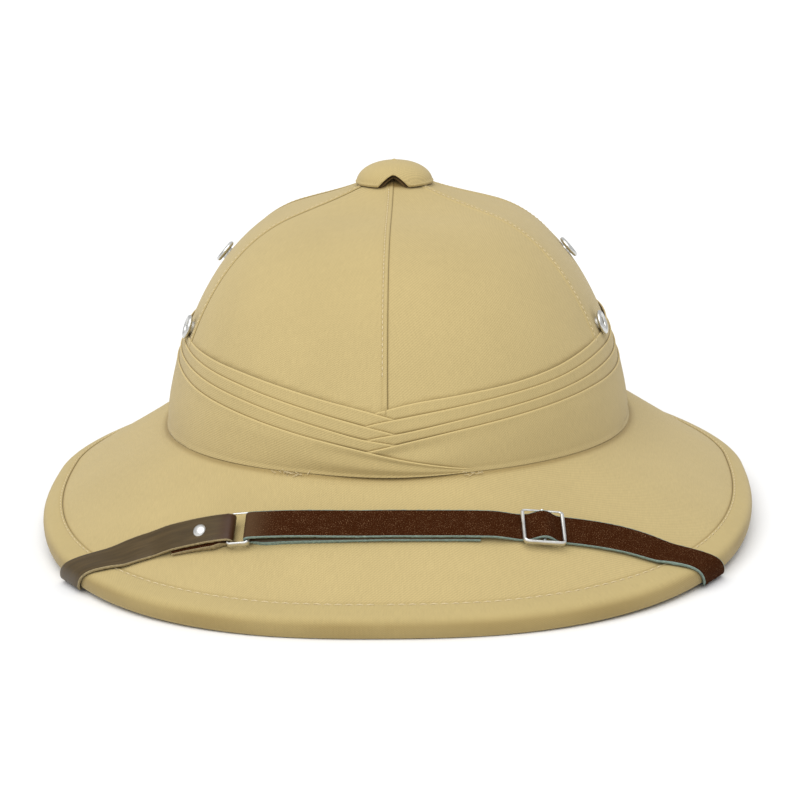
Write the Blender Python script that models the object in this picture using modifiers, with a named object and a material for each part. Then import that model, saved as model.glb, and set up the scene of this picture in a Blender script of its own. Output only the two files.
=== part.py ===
"""A pith helmet: a moulded shell covered in twill, with a pleated band round the crown, a vented
button on top, metal eyelets, and a leather chin strap stowed across the front of the brim.
Metres, +Z up. The front of the helmet faces -Y, and it stands on the floor at Z = 0."""
import math

import bmesh
import bpy
from mathutils import Matrix, Vector

# Outline of the brim and the crown, seen from above
BRIM_WIDTH = 0.280
BRIM_LENGTH = 0.342
BRIM_POWER_FRONT = 2.47
BRIM_POWER_BACK = 1.72
BRIM_POWER_TAIL = 2.0
TAIL_START = 105.0
TAIL_END = 180.0
CROWN_WIDTH = 0.184
CROWN_LENGTH = 0.2338
CROWN_POWER = 2.1
COLUMNS = 48
GORES = 6

# Heights above the floor
RIM_DIP = 0.0044
DIP_SPREAD = 1.05
CROWN_FOOT_SIDE = 0.0364
CROWN_FOOT_END = 0.0432
DOME_TOP = 0.1203
PEAK_RISE = 0.0127
PEAK_REACH = 0.045
DOME_ROUNDNESS = 0.58
DOME_FULLNESS = 1.39

# Walls and the clearances between layers
SHELL_WALL = 0.0042
COVER_THICKNESS = 0.0010
BINDING_THICKNESS = 0.0012
LAYER_GAP = 0.0003
BAND_GAP = 0.0005
SEAM_GAP = 0.0004

# The rim's lip, rolled over by the binding
LIP_HEIGHT = 0.0070
HEM_SIDE = 0.0072
HEM_END = 0.0101
HEM_RISE = 0.0020
HEM_PROUD = 0.0005

# The pleated band
BAND_HEIGHT = 0.0366
BAND_TUCK = 0.0030
BAND_PROUD = 0.0013
PLEAT_STEP = 0.0009
PLEAT_SPACING = 0.0030
PLEAT_EDGE = 0.0004

# The ventilator button and its post
CAP_RADIUS = 0.0150
CAP_HEIGHT = 0.0080
CAP_WALL = 0.0018
CAP_HEM = 0.0008
CAP_SEAT_GAP = 0.0006
NOTCH_RADIUS = 0.0055
GORE_TOP_RADIUS = 0.0090
POST_RADIUS = 0.0060

# The metal eyelets: a domed flange with a short tube through cloth and shell
EYELET_RADIUS = 0.0048
EYELET_BORE = 0.0023
EYELET_TUBE = 0.0029
EYELET_DOME = 0.0011
EYELET_DEPTH = 0.0048
EYELET_SEAT = 0.0005
EYELET_HOLE_GAP = 0.0004
EYELET_LOW = {"azimuth": 66.5, "level": 0.0760, "seat": BAND_PROUD + EYELET_SEAT}
EYELET_HIGH = {"azimuth": 97.0, "level": 0.0978, "seat": EYELET_SEAT}

# The chin strap and its metal
STRAP_WIDTH = 0.0108
STRAP_THICKNESS = 0.0011
STRAP_SEAT = 0.0006
STRAP_GAP = 0.0003
LOOP_PLACE = -0.0515
LOOP_LENGTH = 0.0075
LOOP_WIRE = 0.0006
WIRE_SIDE_GAP = 0.0005
WIRE_GAP = 0.0005
BUCKLE_PLACE = 0.0540
BUCKLE_LENGTH = 0.0143
BUCKLE_WIRE = 0.0007
FREE_END_RIGHT = 0.0320
FOLD_BACK_LEFT = 0.0215
STUD_RADIUS = 0.0027
STUD_DOME = 0.0013
STUD_SETBACK = 0.0103
ANCHOR_RADIUS = 0.0035
ANCHOR_SHANK = 0.0012
ANCHOR_HEAD = 0.0009
ANCHOR_DEPTH = 0.0028
ANCHOR_SETBACK = 0.0060
FASTENER_GAP = 0.0003

# Rows of the crown, as the dome's angle above its foot in degrees
CROWN_ROWS = (12, 27, 42, 57, 72, 83, 87)
CROWN_INNER_ROWS = (12, 40, 66, 83)

# Section of the lip from the hem seam over the rim and under it.
# inset: share of the hem's width; level: share of the lip's height
LIP_SECTION = (
    {"inset": 1.00, "level": 1.36},
    {"inset": 0.55, "level": 1.20},
    {"inset": 0.20, "level": 1.03},
    {"inset": 0.03, "level": 0.80},
    {"inset": 0.00, "level": 0.50},
    {"inset": 0.05, "level": 0.14},
    {"inset": 0.15, "level": 0.00},
    {"inset": 0.45, "level": 0.00},
    {"inset": 1.15, "level": 0.40},
)

# Folded edges of the pleats round the band, as shares of its height above its foot.
# The pleats of both sides cross at the front, so each line falls to the front from the wearer's
# right, meets the next one of the left side, and the last one runs out at the foot.
PLEAT_LINES = (
    {"azimuth": -180.0, "top": 0.83, "folds": (0.76, 0.66, 0.53, 0.20)},
    {"azimuth": -135.0, "top": 0.93, "folds": (0.88, 0.80, 0.67, 0.45)},
    {"azimuth": -90.0, "top": 1.04, "folds": (1.00, 0.93, 0.82, 0.70)},
    {"azimuth": -60.0, "top": 1.00, "folds": (0.96, 0.89, 0.77, 0.66)},
    {"azimuth": -30.0, "top": 0.86, "folds": (0.82, 0.69, 0.59, 0.45)},
    {"azimuth": -12.0, "top": 0.68, "folds": (0.64, 0.52, 0.38, 0.28)},
    {"azimuth": -2.5, "top": 0.58, "folds": (0.54, 0.42, 0.31, 0.20)},
    {"azimuth": 3.0, "top": 0.61, "folds": (0.49, 0.36, 0.25, 0.11)},
    {"azimuth": 12.0, "top": 0.66, "folds": (0.56, 0.43, 0.33, 0.03)},
    {"azimuth": 30.0, "top": 0.75, "folds": (0.67, 0.56, 0.46, 0.03)},
    {"azimuth": 60.0, "top": 0.98, "folds": (0.86, 0.73, 0.59, 0.04)},
    {"azimuth": 90.0, "top": 1.03, "folds": (0.90, 0.76, 0.62, 0.08)},
    {"azimuth": 135.0, "top": 0.92, "folds": (0.83, 0.71, 0.57, 0.12)},
    {"azimuth": 180.0, "top": 0.83, "folds": (0.76, 0.66, 0.53, 0.20)},
)

# The strap's front edge from the middle of the brim, over the rim and back under it.
# place: 0 at the crown, 1 at the hem seam, 2 under the rim, 3 under the crown's foot;
# lean: degrees that the strap stands off the brim; rim: share by which it follows the rim;
# spread: how far it widens where it crosses the rim slantwise
STRAP_ROUTE = (
    {"azimuth": 0.0, "place": 0.55, "lean": 5.0, "rim": 0.0, "spread": 1.00},
    {"azimuth": 12.0, "place": 0.575, "lean": 6.0, "rim": 0.0, "spread": 1.00},
    {"azimuth": 20.0, "place": 0.635, "lean": 8.0, "rim": 0.0, "spread": 1.00},
    {"azimuth": 26.0, "place": 0.71, "lean": 12.0, "rim": 0.0, "spread": 1.00},
    {"azimuth": 31.0, "place": 0.81, "lean": 14.0, "rim": 0.1, "spread": 1.00},
    {"azimuth": 34.5, "place": 0.92, "lean": 12.0, "rim": 0.3, "spread": 1.05},
    {"azimuth": 37.0, "place": 1.04, "lean": 6.0, "rim": 0.7, "spread": 1.20},
    {"azimuth": 39.2, "place": 1.24, "lean": 0.0, "rim": 1.0, "spread": 1.35},
    {"azimuth": 40.6, "place": 1.42, "lean": 0.0, "rim": 1.0, "spread": 1.35},
    {"azimuth": 41.4, "place": 1.58, "lean": 0.0, "rim": 1.0, "spread": 1.35},
    {"azimuth": 42.2, "place": 1.74, "lean": 0.0, "rim": 1.0, "spread": 1.35},
    {"azimuth": 44.5, "place": 1.90, "lean": 0.0, "rim": 1.0, "spread": 1.30},
    {"azimuth": 49.0, "place": 2.12, "lean": 0.0, "rim": 0.5, "spread": 1.10},
    {"azimuth": 57.0, "place": 2.35, "lean": 0.0, "rim": 0.1, "spread": 1.00},
    {"azimuth": 67.0, "place": 2.58, "lean": 0.0, "rim": 0.0, "spread": 1.00},
    {"azimuth": 77.0, "place": 2.78, "lean": 0.0, "rim": 0.0, "spread": 1.00},
    {"azimuth": 84.0, "place": 2.88, "lean": 0.0, "rim": 0.0, "spread": 1.00},
)
ROUTE_STEPS = 5


# A point well inside and below the helmet, from which its layers bulge outwards
BULGE_CENTRE = Vector((0.0, 0.0, -0.1))


# Outline and profile of the helmet at one azimuth, in degrees from the front towards +X

def smooth(value):
    share = min(max(value, 0.0), 1.0)
    return share * share * (3.0 - 2.0 * share)


def mix(start, end, share):
    return start + (end - start) * share


def point(azimuth, reach, level):
    angle = math.radians(azimuth)
    return Vector((reach * math.sin(angle), -reach * math.cos(angle), level))


def oval_reach(azimuth, half_width, half_length, power):
    side = abs(math.sin(math.radians(azimuth)))
    ahead = abs(math.cos(math.radians(azimuth)))
    return ((side / half_width) ** power + (ahead / half_length) ** power) ** (-1.0 / power)


def brim_power(azimuth):
    """How square the brim is: fullest at the front, leanest behind the sides, round at the tail."""
    if math.cos(math.radians(azimuth)) > 0.0:
        return BRIM_POWER_FRONT
    turn = abs((azimuth + 180.0) % 360.0 - 180.0)
    share = smooth((turn - TAIL_START) / (TAIL_END - TAIL_START))
    return mix(BRIM_POWER_BACK, BRIM_POWER_TAIL, share)


def end_share(azimuth):
    """1 at the front and the back of the helmet, 0 at its sides."""
    return min(DIP_SPREAD * math.cos(math.radians(azimuth)) ** 2, 1.0)


def rim_reach(azimuth, inset_side=0.0, inset_end=0.0):
    return oval_reach(azimuth, BRIM_WIDTH / 2 - inset_side, BRIM_LENGTH / 2 - inset_end,
                      brim_power(azimuth))


def rim_floor(azimuth):
    return RIM_DIP * (1.0 - end_share(azimuth))


def foot_level(azimuth):
    return mix(CROWN_FOOT_SIDE, CROWN_FOOT_END, end_share(azimuth))


def dome_reach(azimuth, level):
    """Reach of the dome's own surface at a level below its peak."""
    rise = (level - foot_level(azimuth)) / (DOME_TOP - foot_level(azimuth))
    sine = min(max(rise, 0.0), 1.0) ** (1.0 / DOME_FULLNESS)
    foot = oval_reach(azimuth, CROWN_WIDTH / 2, CROWN_LENGTH / 2, CROWN_POWER)
    return foot * math.sqrt(1.0 - sine * sine) ** DOME_ROUNDNESS


def crown_reach(azimuth, level):
    """Reach of the crown's cloth, which is tucked in behind the band."""
    share = (level - foot_level(azimuth)) / BAND_HEIGHT
    return dome_reach(azimuth, level) - BAND_TUCK * (1.0 - smooth((share - 0.6) / 0.55))


def crown_point(azimuth, dome_angle):
    """Reach and level on the crown's cloth at one angle of the dome."""
    foot = foot_level(azimuth)
    level = mix(foot, DOME_TOP, math.sin(math.radians(dome_angle)) ** DOME_FULLNESS)
    reach = crown_reach(azimuth, level)
    return reach, level + PEAK_RISE * max(0.0, 1.0 - reach / PEAK_REACH) ** 2


def crown_top(azimuth):
    """The small ring, hidden under the button, where the crown's cloth ends."""
    level = DOME_TOP + PEAK_RISE * (1.0 - GORE_TOP_RADIUS / PEAK_REACH) ** 2
    return GORE_TOP_RADIUS, level


def crown_profile(azimuth, rows=CROWN_ROWS):
    foot = foot_level(azimuth)
    profile = [crown_top(azimuth)]
    profile += [crown_point(azimuth, angle) for angle in reversed(rows)]
    profile.append((crown_reach(azimuth, foot), foot))
    return profile


def seam_point(azimuth):
    level = rim_floor(azimuth) + LIP_HEIGHT + HEM_RISE
    return rim_reach(azimuth, HEM_SIDE, HEM_END), level


def brim_point(azimuth, share):
    """Reach and level on the brim's cloth: share 0 at the crown, 1 at the hem seam."""
    foot = foot_level(azimuth)
    seam_reach, seam_level = seam_point(azimuth)
    return mix(crown_reach(azimuth, foot), seam_reach, share), mix(foot, seam_level, share)


def brim_level(azimuth, reach):
    inner_reach, inner_level = brim_point(azimuth, 0.0)
    outer_reach, outer_level = brim_point(azimuth, 1.0)
    return mix(inner_level, outer_level, (reach - inner_reach) / (outer_reach - inner_reach))


def lip_profile(azimuth):
    hem = rim_reach(azimuth) - rim_reach(azimuth, HEM_SIDE, HEM_END)
    profile = []
    for row in LIP_SECTION:
        level = rim_floor(azimuth) + LIP_HEIGHT * row["level"]
        profile.append((rim_reach(azimuth) - hem * row["inset"], level))
    return profile


def inset(profile, depth):
    """Move a profile, which runs down and outwards, into the wall behind it."""
    moved = []
    last = len(profile) - 1
    for index, (reach, level) in enumerate(profile):
        sides = []
        for start, end in ((index - 1, index), (index, index + 1)):
            if start < 0 or end > last:
                continue
            along = Vector((profile[end][0] - profile[start][0],
                            profile[end][1] - profile[start][1])).normalized()
            sides.append(Vector((along.y, -along.x)))
        normal = sum(sides, Vector((0.0, 0.0))).normalized()
        stretch = 1.0 / max(normal.dot(sides[0]), 0.5)
        moved.append((reach + normal.x * depth * stretch, level + normal.y * depth * stretch))
    return moved


# Objects, materials and meshes

def new_collection(name):
    collection = bpy.data.collections.new(name)
    bpy.context.scene.collection.children.link(collection)
    return collection


def make_material(name, colour, roughness, metallic=0.0):
    material = bpy.data.materials.new(name)
    material.use_nodes = True
    shader = material.node_tree.nodes["Principled BSDF"]
    shader.inputs["Base Color"].default_value = (*colour, 1.0)
    shader.inputs["Roughness"].default_value = roughness
    shader.inputs["Metallic"].default_value = metallic
    return material


def add_object(name, mesh, material, collection, smooth_angle=35.0):
    piece = bpy.data.objects.new(name, mesh)
    if material:
        mesh.materials.append(material)
    mesh.shade_smooth()
    mesh.set_sharp_from_angle(angle=math.radians(smooth_angle))
    collection.objects.link(piece)
    return piece


def finish_mesh(name, shape):
    bmesh.ops.recalc_face_normals(shape, faces=shape.faces)
    mesh = bpy.data.meshes.new(name)
    shape.to_mesh(mesh)
    shape.free()
    return mesh


def split_quad(shape, a, b, c, d):
    """Two triangles, split so that they bulge outwards: parallel layers then split alike."""
    first = ((a.co + c.co) / 2 - BULGE_CENTRE).length
    second = ((b.co + d.co) / 2 - BULGE_CENTRE).length
    if first >= second:
        shape.faces.new((a, b, c))
        shape.faces.new((a, c, d))
    else:
        shape.faces.new((a, b, d))
        shape.faces.new((b, c, d))


def grid_faces(shape, rows, closed_rows, closed_columns):
    """Fill a grid of vertices with faces, wrapping round in the directions asked for."""
    row_count = len(rows) if closed_rows else len(rows) - 1
    width = len(rows[0])
    column_count = width if closed_columns else width - 1
    for row in range(row_count):
        above = rows[row]
        below = rows[(row + 1) % len(rows)]
        for column in range(column_count):
            after = (column + 1) % width
            split_quad(shape, above[column], above[after], below[after], below[column])


def loft_ring(name, rows):
    """A ring whose section is one closed loop of rows."""
    shape = bmesh.new()
    grid = [[shape.verts.new(place) for place in row] for row in rows]
    grid_faces(shape, grid, True, True)
    return finish_mesh(name, shape)


def loft_bowl(name, rows, first_pole, last_pole):
    """A bowl: rows from the outer pole, round the rim, to the inner pole."""
    shape = bmesh.new()
    grid = [[shape.verts.new(place) for place in row] for row in rows]
    grid_faces(shape, grid, False, True)
    for pole, row in ((first_pole, grid[0]), (last_pole, grid[-1])):
        centre = shape.verts.new(pole)
        for column, corner in enumerate(row):
            shape.faces.new((centre, corner, row[(column + 1) % len(row)]))
    return finish_mesh(name, shape)


def loft_panel(name, outer, inner):
    """A cloth panel between two grids of equal size, closed at its four edges."""
    shape = bmesh.new()
    outer = [[shape.verts.new(place) for place in row] for row in outer]
    inner = [[shape.verts.new(place) for place in row] for row in inner]
    grid_faces(shape, outer, False, False)
    grid_faces(shape, inner, False, False)
    for edge in ((outer[0], inner[0]), (outer[-1], inner[-1])):
        grid_faces(shape, edge, False, False)
    for column in (0, -1):
        sides = [[row[column] for row in outer], [row[column] for row in inner]]
        grid_faces(shape, sides, False, False)
    return finish_mesh(name, shape)


def loft_bar(name, sections):
    """A bar through a list of sections, each a loop of corners, with flat ends."""
    shape = bmesh.new()
    grid = [[shape.verts.new(place) for place in row] for row in sections]
    grid_faces(shape, grid, False, True)
    shape.faces.new(grid[0])
    shape.faces.new(grid[-1])
    return finish_mesh(name, shape)


def turned(name, profile, segments, material, collection, place=None):
    """A turned piece: profile of radius and height, from its top centre down its outer side."""
    mesh = bpy.data.meshes.new(name)
    corners = [(radius, 0.0, height) for radius, height in profile]
    closed = profile[0][0] > 0.0
    edges = [(index, index + 1) for index in range(len(corners) - 1)]
    if closed:
        edges.append((len(corners) - 1, 0))
    mesh.from_pydata(corners, edges, [])
    piece = bpy.data.objects.new(name, mesh)
    mesh.materials.append(material)
    collection.objects.link(piece)
    screw = piece.modifiers.new("Turn", "SCREW")
    screw.steps = segments
    screw.render_steps = segments
    screw.use_merge_vertices = True
    screw.merge_threshold = 0.00001
    screw.use_smooth_shade = True
    if place:
        piece.matrix_world = place
    return piece


def cut(piece, cutter):
    modifier = piece.modifiers.new("Cut " + cutter.name, "BOOLEAN")
    modifier.operation = "DIFFERENCE"
    modifier.solver = "EXACT"
    modifier.object = cutter


def add_cutter(name, radius, depth, place, collection, segments=12):
    shape = bmesh.new()
    bmesh.ops.create_cone(shape, cap_ends=True, segments=segments, radius1=radius, radius2=radius,
                          depth=depth)
    cutter = add_object(name, finish_mesh(name, shape), None, collection)
    cutter.matrix_world = place
    cutter.hide_render = True
    cutter.display_type = "WIRE"
    return cutter


def azimuths():
    return [360.0 * column / COLUMNS for column in range(COLUMNS)]


def rows_from_profiles(profiles, angles):
    """Turn one profile per azimuth into rows of points that run round the helmet."""
    rows = []
    for index in range(len(profiles[0])):
        rows.append([point(angle, *profile[index]) for angle, profile in zip(angles, profiles)])
    return rows


# The shell and its cloth

def build_shell(material, collection):
    cloth = COVER_THICKNESS + LAYER_GAP
    wall = cloth + SHELL_WALL
    profiles = []
    for azimuth in azimuths():
        crown = crown_profile(azimuth)
        crown_inner = crown_profile(azimuth, CROWN_INNER_ROWS)
        brim = [brim_point(azimuth, share) for share in (0.0, 1.0)]
        lip = inset(lip_profile(azimuth), BINDING_THICKNESS + LAYER_GAP)
        underside = inset([brim_point(azimuth, share) for share in (0.0, 0.85)], wall)
        profiles.append(inset(crown, cloth) + inset(brim, cloth) + lip[2:]
                        + list(reversed(underside)) + list(reversed(inset(crown_inner, wall))))
    rows = rows_from_profiles(profiles, azimuths())
    outer_pole = Vector((0.0, 0.0, rows[0][0].z))
    inner_pole = Vector((0.0, 0.0, rows[-1][0].z))
    mesh = loft_bowl("shell", rows, outer_pole, inner_pole)
    return add_object("shell", mesh, material, collection)


def panel_column(azimuth, neighbour, profile_of, gap):
    """Points of a panel's side, drawn back from its seam by half of the gap."""
    side = []
    pairs = zip(profile_of(azimuth), profile_of(neighbour))
    for here, there in pairs:
        start = point(azimuth, *here)
        end = point(neighbour, *there)
        side.append(start.lerp(end, min(0.45, gap / 2 / (end - start).length)))
    return side


def build_gore(number, material, collection):
    """One cloth panel of the crown, between two seams."""
    def outer_profile(azimuth):
        profile = crown_profile(azimuth)
        foot = foot_level(azimuth) + LAYER_GAP
        profile[-1] = (crown_reach(azimuth, foot), foot)
        return profile

    def inner_profile(azimuth):
        profile = inset(outer_profile(azimuth), COVER_THICKNESS)
        profile[-1] = (profile[-1][0], outer_profile(azimuth)[-1][1])
        return profile

    step = 360.0 / COLUMNS
    columns = COLUMNS // GORES
    first = number * columns
    sides = []
    for profile_of in (outer_profile, inner_profile):
        grid = []
        for column in range(columns + 1):
            azimuth = (first + column) * step
            if column == 0:
                grid.append(panel_column(azimuth, azimuth + step, profile_of, SEAM_GAP))
            elif column == columns:
                grid.append(panel_column(azimuth, azimuth - step, profile_of, SEAM_GAP))
            else:
                grid.append([point(azimuth, *place) for place in profile_of(azimuth)])
        sides.append([list(row) for row in zip(*grid)])
    name = "crown_gore_%d" % (number + 1)
    return add_object(name, loft_panel(name, *sides), material, collection)


def build_brim_cover(material, collection):
    profiles = []
    for azimuth in azimuths():
        length = brim_point(azimuth, 1.0)[0] - brim_point(azimuth, 0.0)[0]
        edge = 1.0 - LAYER_GAP / length
        outer = [brim_point(azimuth, share) for share in (0.0, edge)]
        profiles.append(outer + list(reversed(inset(outer, COVER_THICKNESS))))
    mesh = loft_ring("brim_cover", rows_from_profiles(profiles, azimuths()))
    return add_object("brim_cover", mesh, material, collection)


def build_edge_binding(material, collection):
    profiles = []
    for azimuth in azimuths():
        outer = lip_profile(azimuth)
        outer[0] = (outer[0][0], seam_point(azimuth)[1] + HEM_PROUD)
        profiles.append(outer + list(reversed(inset(outer, BINDING_THICKNESS))))
    mesh = loft_ring("edge_binding", rows_from_profiles(profiles, azimuths()))
    return add_object("edge_binding", mesh, material, collection)


# The pleated band

def pleat_levels(azimuth):
    """Levels of the band's top edge and of its pleats' folded edges at one azimuth."""
    turn = (azimuth + 180.0) % 360.0 - 180.0
    for before, after in zip(PLEAT_LINES, PLEAT_LINES[1:]):
        if turn <= after["azimuth"]:
            break
    share = (turn - before["azimuth"]) / (after["azimuth"] - before["azimuth"])
    foot = foot_level(azimuth)
    pairs = zip((before["top"], *before["folds"]), (after["top"], *after["folds"]))
    return [foot + BAND_HEIGHT * mix(start, end, share) for start, end in pairs]


def band_foot(azimuth):
    """Reach and level of the band's lower outer edge, just clear of the brim."""
    reach = dome_reach(azimuth, foot_level(azimuth)) + BAND_PROUD
    return reach, brim_level(azimuth, reach) + BAND_GAP


def band_profile(azimuth):
    levels = pleat_levels(azimuth)
    foot = band_foot(azimuth)
    profile = [(dome_reach(azimuth, levels[0]) + BAND_PROUD, levels[0])]
    above = levels[0]
    for fold in levels[1:]:
        step = PLEAT_STEP * min(1.0, (above - fold) / PLEAT_SPACING)
        step *= smooth((fold - foot[1]) / PLEAT_SPACING)
        for level, drop in ((fold + PLEAT_EDGE, step), (fold, 0.0)):
            profile.append((dome_reach(azimuth, level) + BAND_PROUD - drop, level))
        above = fold
    profile.append(foot)
    inner_foot = foot_level(azimuth) + BAND_GAP
    for share in (0.0, 0.5, 1.0):
        level = mix(inner_foot, levels[0], share)
        profile.append((crown_reach(azimuth, level) + BAND_GAP, level))
    return profile


def build_pugaree(material, collection):
    profiles = [band_profile(azimuth) for azimuth in azimuths()]
    mesh = loft_ring("pugaree", rows_from_profiles(profiles, azimuths()))
    return add_object("pugaree", mesh, material, collection, smooth_angle=25.0)


# The ventilator button

def cap_level(radius=CAP_RADIUS):
    """Level of the button's lower edge at a radius, on the crown's cloth."""
    return DOME_TOP + PEAK_RISE * (1.0 - radius / PEAK_REACH) ** 2 + CAP_SEAT_GAP


def cap_ceiling():
    return cap_level() + CAP_HEM + CAP_HEIGHT - CAP_WALL


def build_vent_cap(material, collection, cutters):
    base = cap_level() + CAP_HEM
    outer = []
    inner = []
    for angle in (90, 70, 50, 30, 12, 0):
        sine = math.sin(math.radians(angle))
        cosine = math.cos(math.radians(angle))
        outer.append((CAP_RADIUS * cosine, base + CAP_HEIGHT * sine))
        inner.append(((CAP_RADIUS - CAP_WALL) * cosine, base + (CAP_HEIGHT - CAP_WALL) * sine))
    outer[0] = (0.0, base + CAP_HEIGHT)
    inner[0] = (0.0, base + CAP_HEIGHT - CAP_WALL)
    throat = CAP_RADIUS - CAP_WALL
    profile = outer + [(CAP_RADIUS, cap_level()), (throat, cap_level(throat))]
    profile += list(reversed(inner))
    cap = turned("vent_cap", profile, 20, material, collection)
    lie_along_y = Matrix.Rotation(math.radians(90.0), 4, "X")
    place = Matrix.Translation((0.0, 0.0, cap_level())) @ lie_along_y
    notch = add_cutter("cap_notch", NOTCH_RADIUS, CAP_RADIUS * 3, place, cutters, 16)
    cut(cap, notch)
    return cap


def build_vent_post(material, collection):
    crown_level = crown_top(0.0)[1] - COVER_THICKNESS
    profile = [(0.0, cap_ceiling() - LAYER_GAP), (POST_RADIUS * 0.5, cap_ceiling() - LAYER_GAP)]
    shoulder = cap_level() + CAP_HEM + (CAP_HEIGHT - CAP_WALL) * 0.8
    profile += [(POST_RADIUS, shoulder), (POST_RADIUS, crown_level), (0.0, crown_level)]
    return turned("vent_post", profile, 16, material, collection)


# The eyelets

def surface_frame(azimuth, level):
    """A matrix on the crown's cloth whose Z axis points straight out of it."""
    small = 0.002
    centre = point(azimuth, crown_reach(azimuth, level), level)
    above = point(azimuth, crown_reach(azimuth, level + small), level + small)
    beside = point(azimuth + 1.0, crown_reach(azimuth + 1.0, level), level)
    along = (beside - centre).normalized()
    out = along.cross(above - centre).normalized()
    up = out.cross(along)
    frame = Matrix((along, up, out)).transposed().to_4x4()
    frame.translation = centre
    return frame


def eyelet_profile(seat):
    return [
        (EYELET_BORE, seat + EYELET_DOME * 0.6),
        (EYELET_BORE * 1.35, seat + EYELET_DOME),
        (EYELET_RADIUS * 0.8, seat + EYELET_DOME * 0.8),
        (EYELET_RADIUS, seat + EYELET_DOME * 0.15),
        (EYELET_RADIUS, seat),
        (EYELET_TUBE, seat),
        (EYELET_TUBE, -EYELET_DEPTH),
        (EYELET_BORE, -EYELET_DEPTH),
    ]


def build_eyelets(metal, collection, cutters, shell, gores, pugaree):
    """Four eyelets: the low ones are set through the band's upper edge."""
    hole = EYELET_TUBE + EYELET_HOLE_GAP
    for row, spot in (("low", EYELET_LOW), ("high", EYELET_HIGH)):
        for side, sign in (("right", 1.0), ("left", -1.0)):
            place = surface_frame(sign * spot["azimuth"], spot["level"])
            profile = eyelet_profile(spot["seat"])
            turned("eyelet_%s_%s" % (side, row), profile, 12, metal, collection, place)
            cutter = add_cutter("eyelet_hole_%s_%s" % (side, row), hole, 0.03, place, cutters)
            cut(shell, cutter)
            cut(gores[int(sign * spot["azimuth"] % 360.0 // (360.0 / GORES))], cutter)
            if row == "low":
                cut(pugaree, cutter)


# The chin strap's route over the brim

def skin_point(azimuth, place):
    """Reach and level on the brim's outside: over its top, round the lip and back under it."""
    if place <= 1.0:
        return brim_point(azimuth, place)
    if place <= 2.0:
        profile = lip_profile(azimuth)
        profile[0] = (profile[0][0], seam_point(azimuth)[1] + HEM_PROUD)
        position = (place - 1.0) * (len(profile) - 1)
        index = min(int(position), len(profile) - 2)
        start = profile[index]
        end = profile[index + 1]
        share = position - index
    else:
        wall = COVER_THICKNESS + LAYER_GAP + SHELL_WALL
        start = lip_profile(azimuth)[-1]
        end = inset([brim_point(azimuth, 0.0), brim_point(azimuth, 1.0)], wall)[0]
        share = place - 2.0
    return mix(start[0], end[0], share), mix(start[1], end[1], share)


def skin_frame(azimuth, place):
    """Point, outward normal and direction along the rim on the brim's outside."""
    here = point(azimuth, *skin_point(azimuth, place))
    step = 0.06
    before = point(azimuth, *skin_point(azimuth, max(place - step, 0.0)))
    after = point(azimuth, *skin_point(azimuth, min(place + step, 3.0)))
    beside = point(azimuth + 1.0, *skin_point(azimuth + 1.0, place))
    rim = (beside - here).normalized()
    normal = (after - before).cross(rim).normalized()
    return here, normal, rim


def spline(values, position):
    """A smooth curve through evenly spaced values."""
    index = min(int(position), len(values) - 2)
    share = position - index
    first = values[max(index - 1, 0)]
    start = values[index]
    end = values[index + 1]
    last = values[min(index + 2, len(values) - 1)]
    bend = 2 * first - 5 * start + 4 * end - last
    twist = 3 * (start - end) + last - first
    return 0.5 * (2 * start + (end - first) * share + bend * share ** 2 + twist * share ** 3)


def strap_route():
    """Stations along the strap from the middle of the front to its hidden end."""
    columns = {key: [row[key] for row in STRAP_ROUTE] for key in STRAP_ROUTE[0]}
    count = (len(STRAP_ROUTE) - 1) * ROUTE_STEPS
    spots = []
    for number in range(count + 1):
        position = number / ROUTE_STEPS
        spots.append({key: spline(values, position) for key, values in columns.items()})
    mirrored = [dict(spot, azimuth=-spot["azimuth"]) for spot in reversed(spots[1:])]
    spots = mirrored + spots
    frames = [skin_frame(spot["azimuth"], spot["place"]) for spot in spots]
    stations = []
    length = 0.0
    for number, (spot, (here, normal, rim)) in enumerate(zip(spots, frames)):
        before = frames[max(number - 1, 0)][0]
        after = frames[min(number + 1, len(frames) - 1)][0]
        along = (after - before).normalized()
        across = normal.cross(along).normalized()
        rim = rim if rim.dot(across) > 0.0 else -rim
        ruling = across.lerp(rim, spot["rim"]).normalized() * spot["spread"]
        lean = math.radians(spot["lean"])
        ruling = ruling * math.cos(lean) + normal * math.sin(lean)
        if number:
            length += (here - before).length
        stations.append({"length": length, "edge": here, "along": along, "ruling": ruling,
                         "out": along.cross(ruling).normalized()})
    middle = stations[len(mirrored)]["length"]
    for station in stations:
        station["length"] -= middle
    return stations


def route_frame(route, length):
    """Edge point and directions at one length along the route."""
    index = 0
    while index < len(route) - 2 and route[index + 1]["length"] < length:
        index += 1
    start = route[index]
    end = route[index + 1]
    share = (length - start["length"]) / (end["length"] - start["length"])
    frame = {key: start[key].lerp(end[key], share) for key in ("edge", "along", "ruling", "out")}
    frame["along"].normalize()
    frame["out"].normalize()
    return frame


def fold_round(place, height, radius, towards, steps=6):
    """Half a turn of a strap's path round a bar: lengths and heights from below to above."""
    turns = [math.radians(-90.0 + 180.0 * step / steps) for step in range(steps + 1)]
    return [(place + towards * radius * math.cos(turn), height + radius * math.sin(turn))
            for turn in turns]


def strap_solid(name, route, path, material, collection):
    """A flat strap that follows a path of lengths along the route and heights above the brim."""
    sections = []
    for number, (length, height) in enumerate(path):
        before = path[max(number - 1, 0)]
        after = path[min(number + 1, len(path) - 1)]
        direction = Vector((after[0] - before[0], after[1] - before[1])).normalized()
        frame = route_frame(route, length)
        normal = frame["out"] * direction.x - frame["along"] * direction.y
        middle = frame["edge"] + frame["out"] * height
        half = normal * STRAP_THICKNESS / 2
        wide = frame["ruling"] * STRAP_WIDTH
        sections.append([middle - half, middle + half, middle + half + wide, middle - half + wide])
    return add_object(name, loft_bar(name, sections), material, collection)


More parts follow.
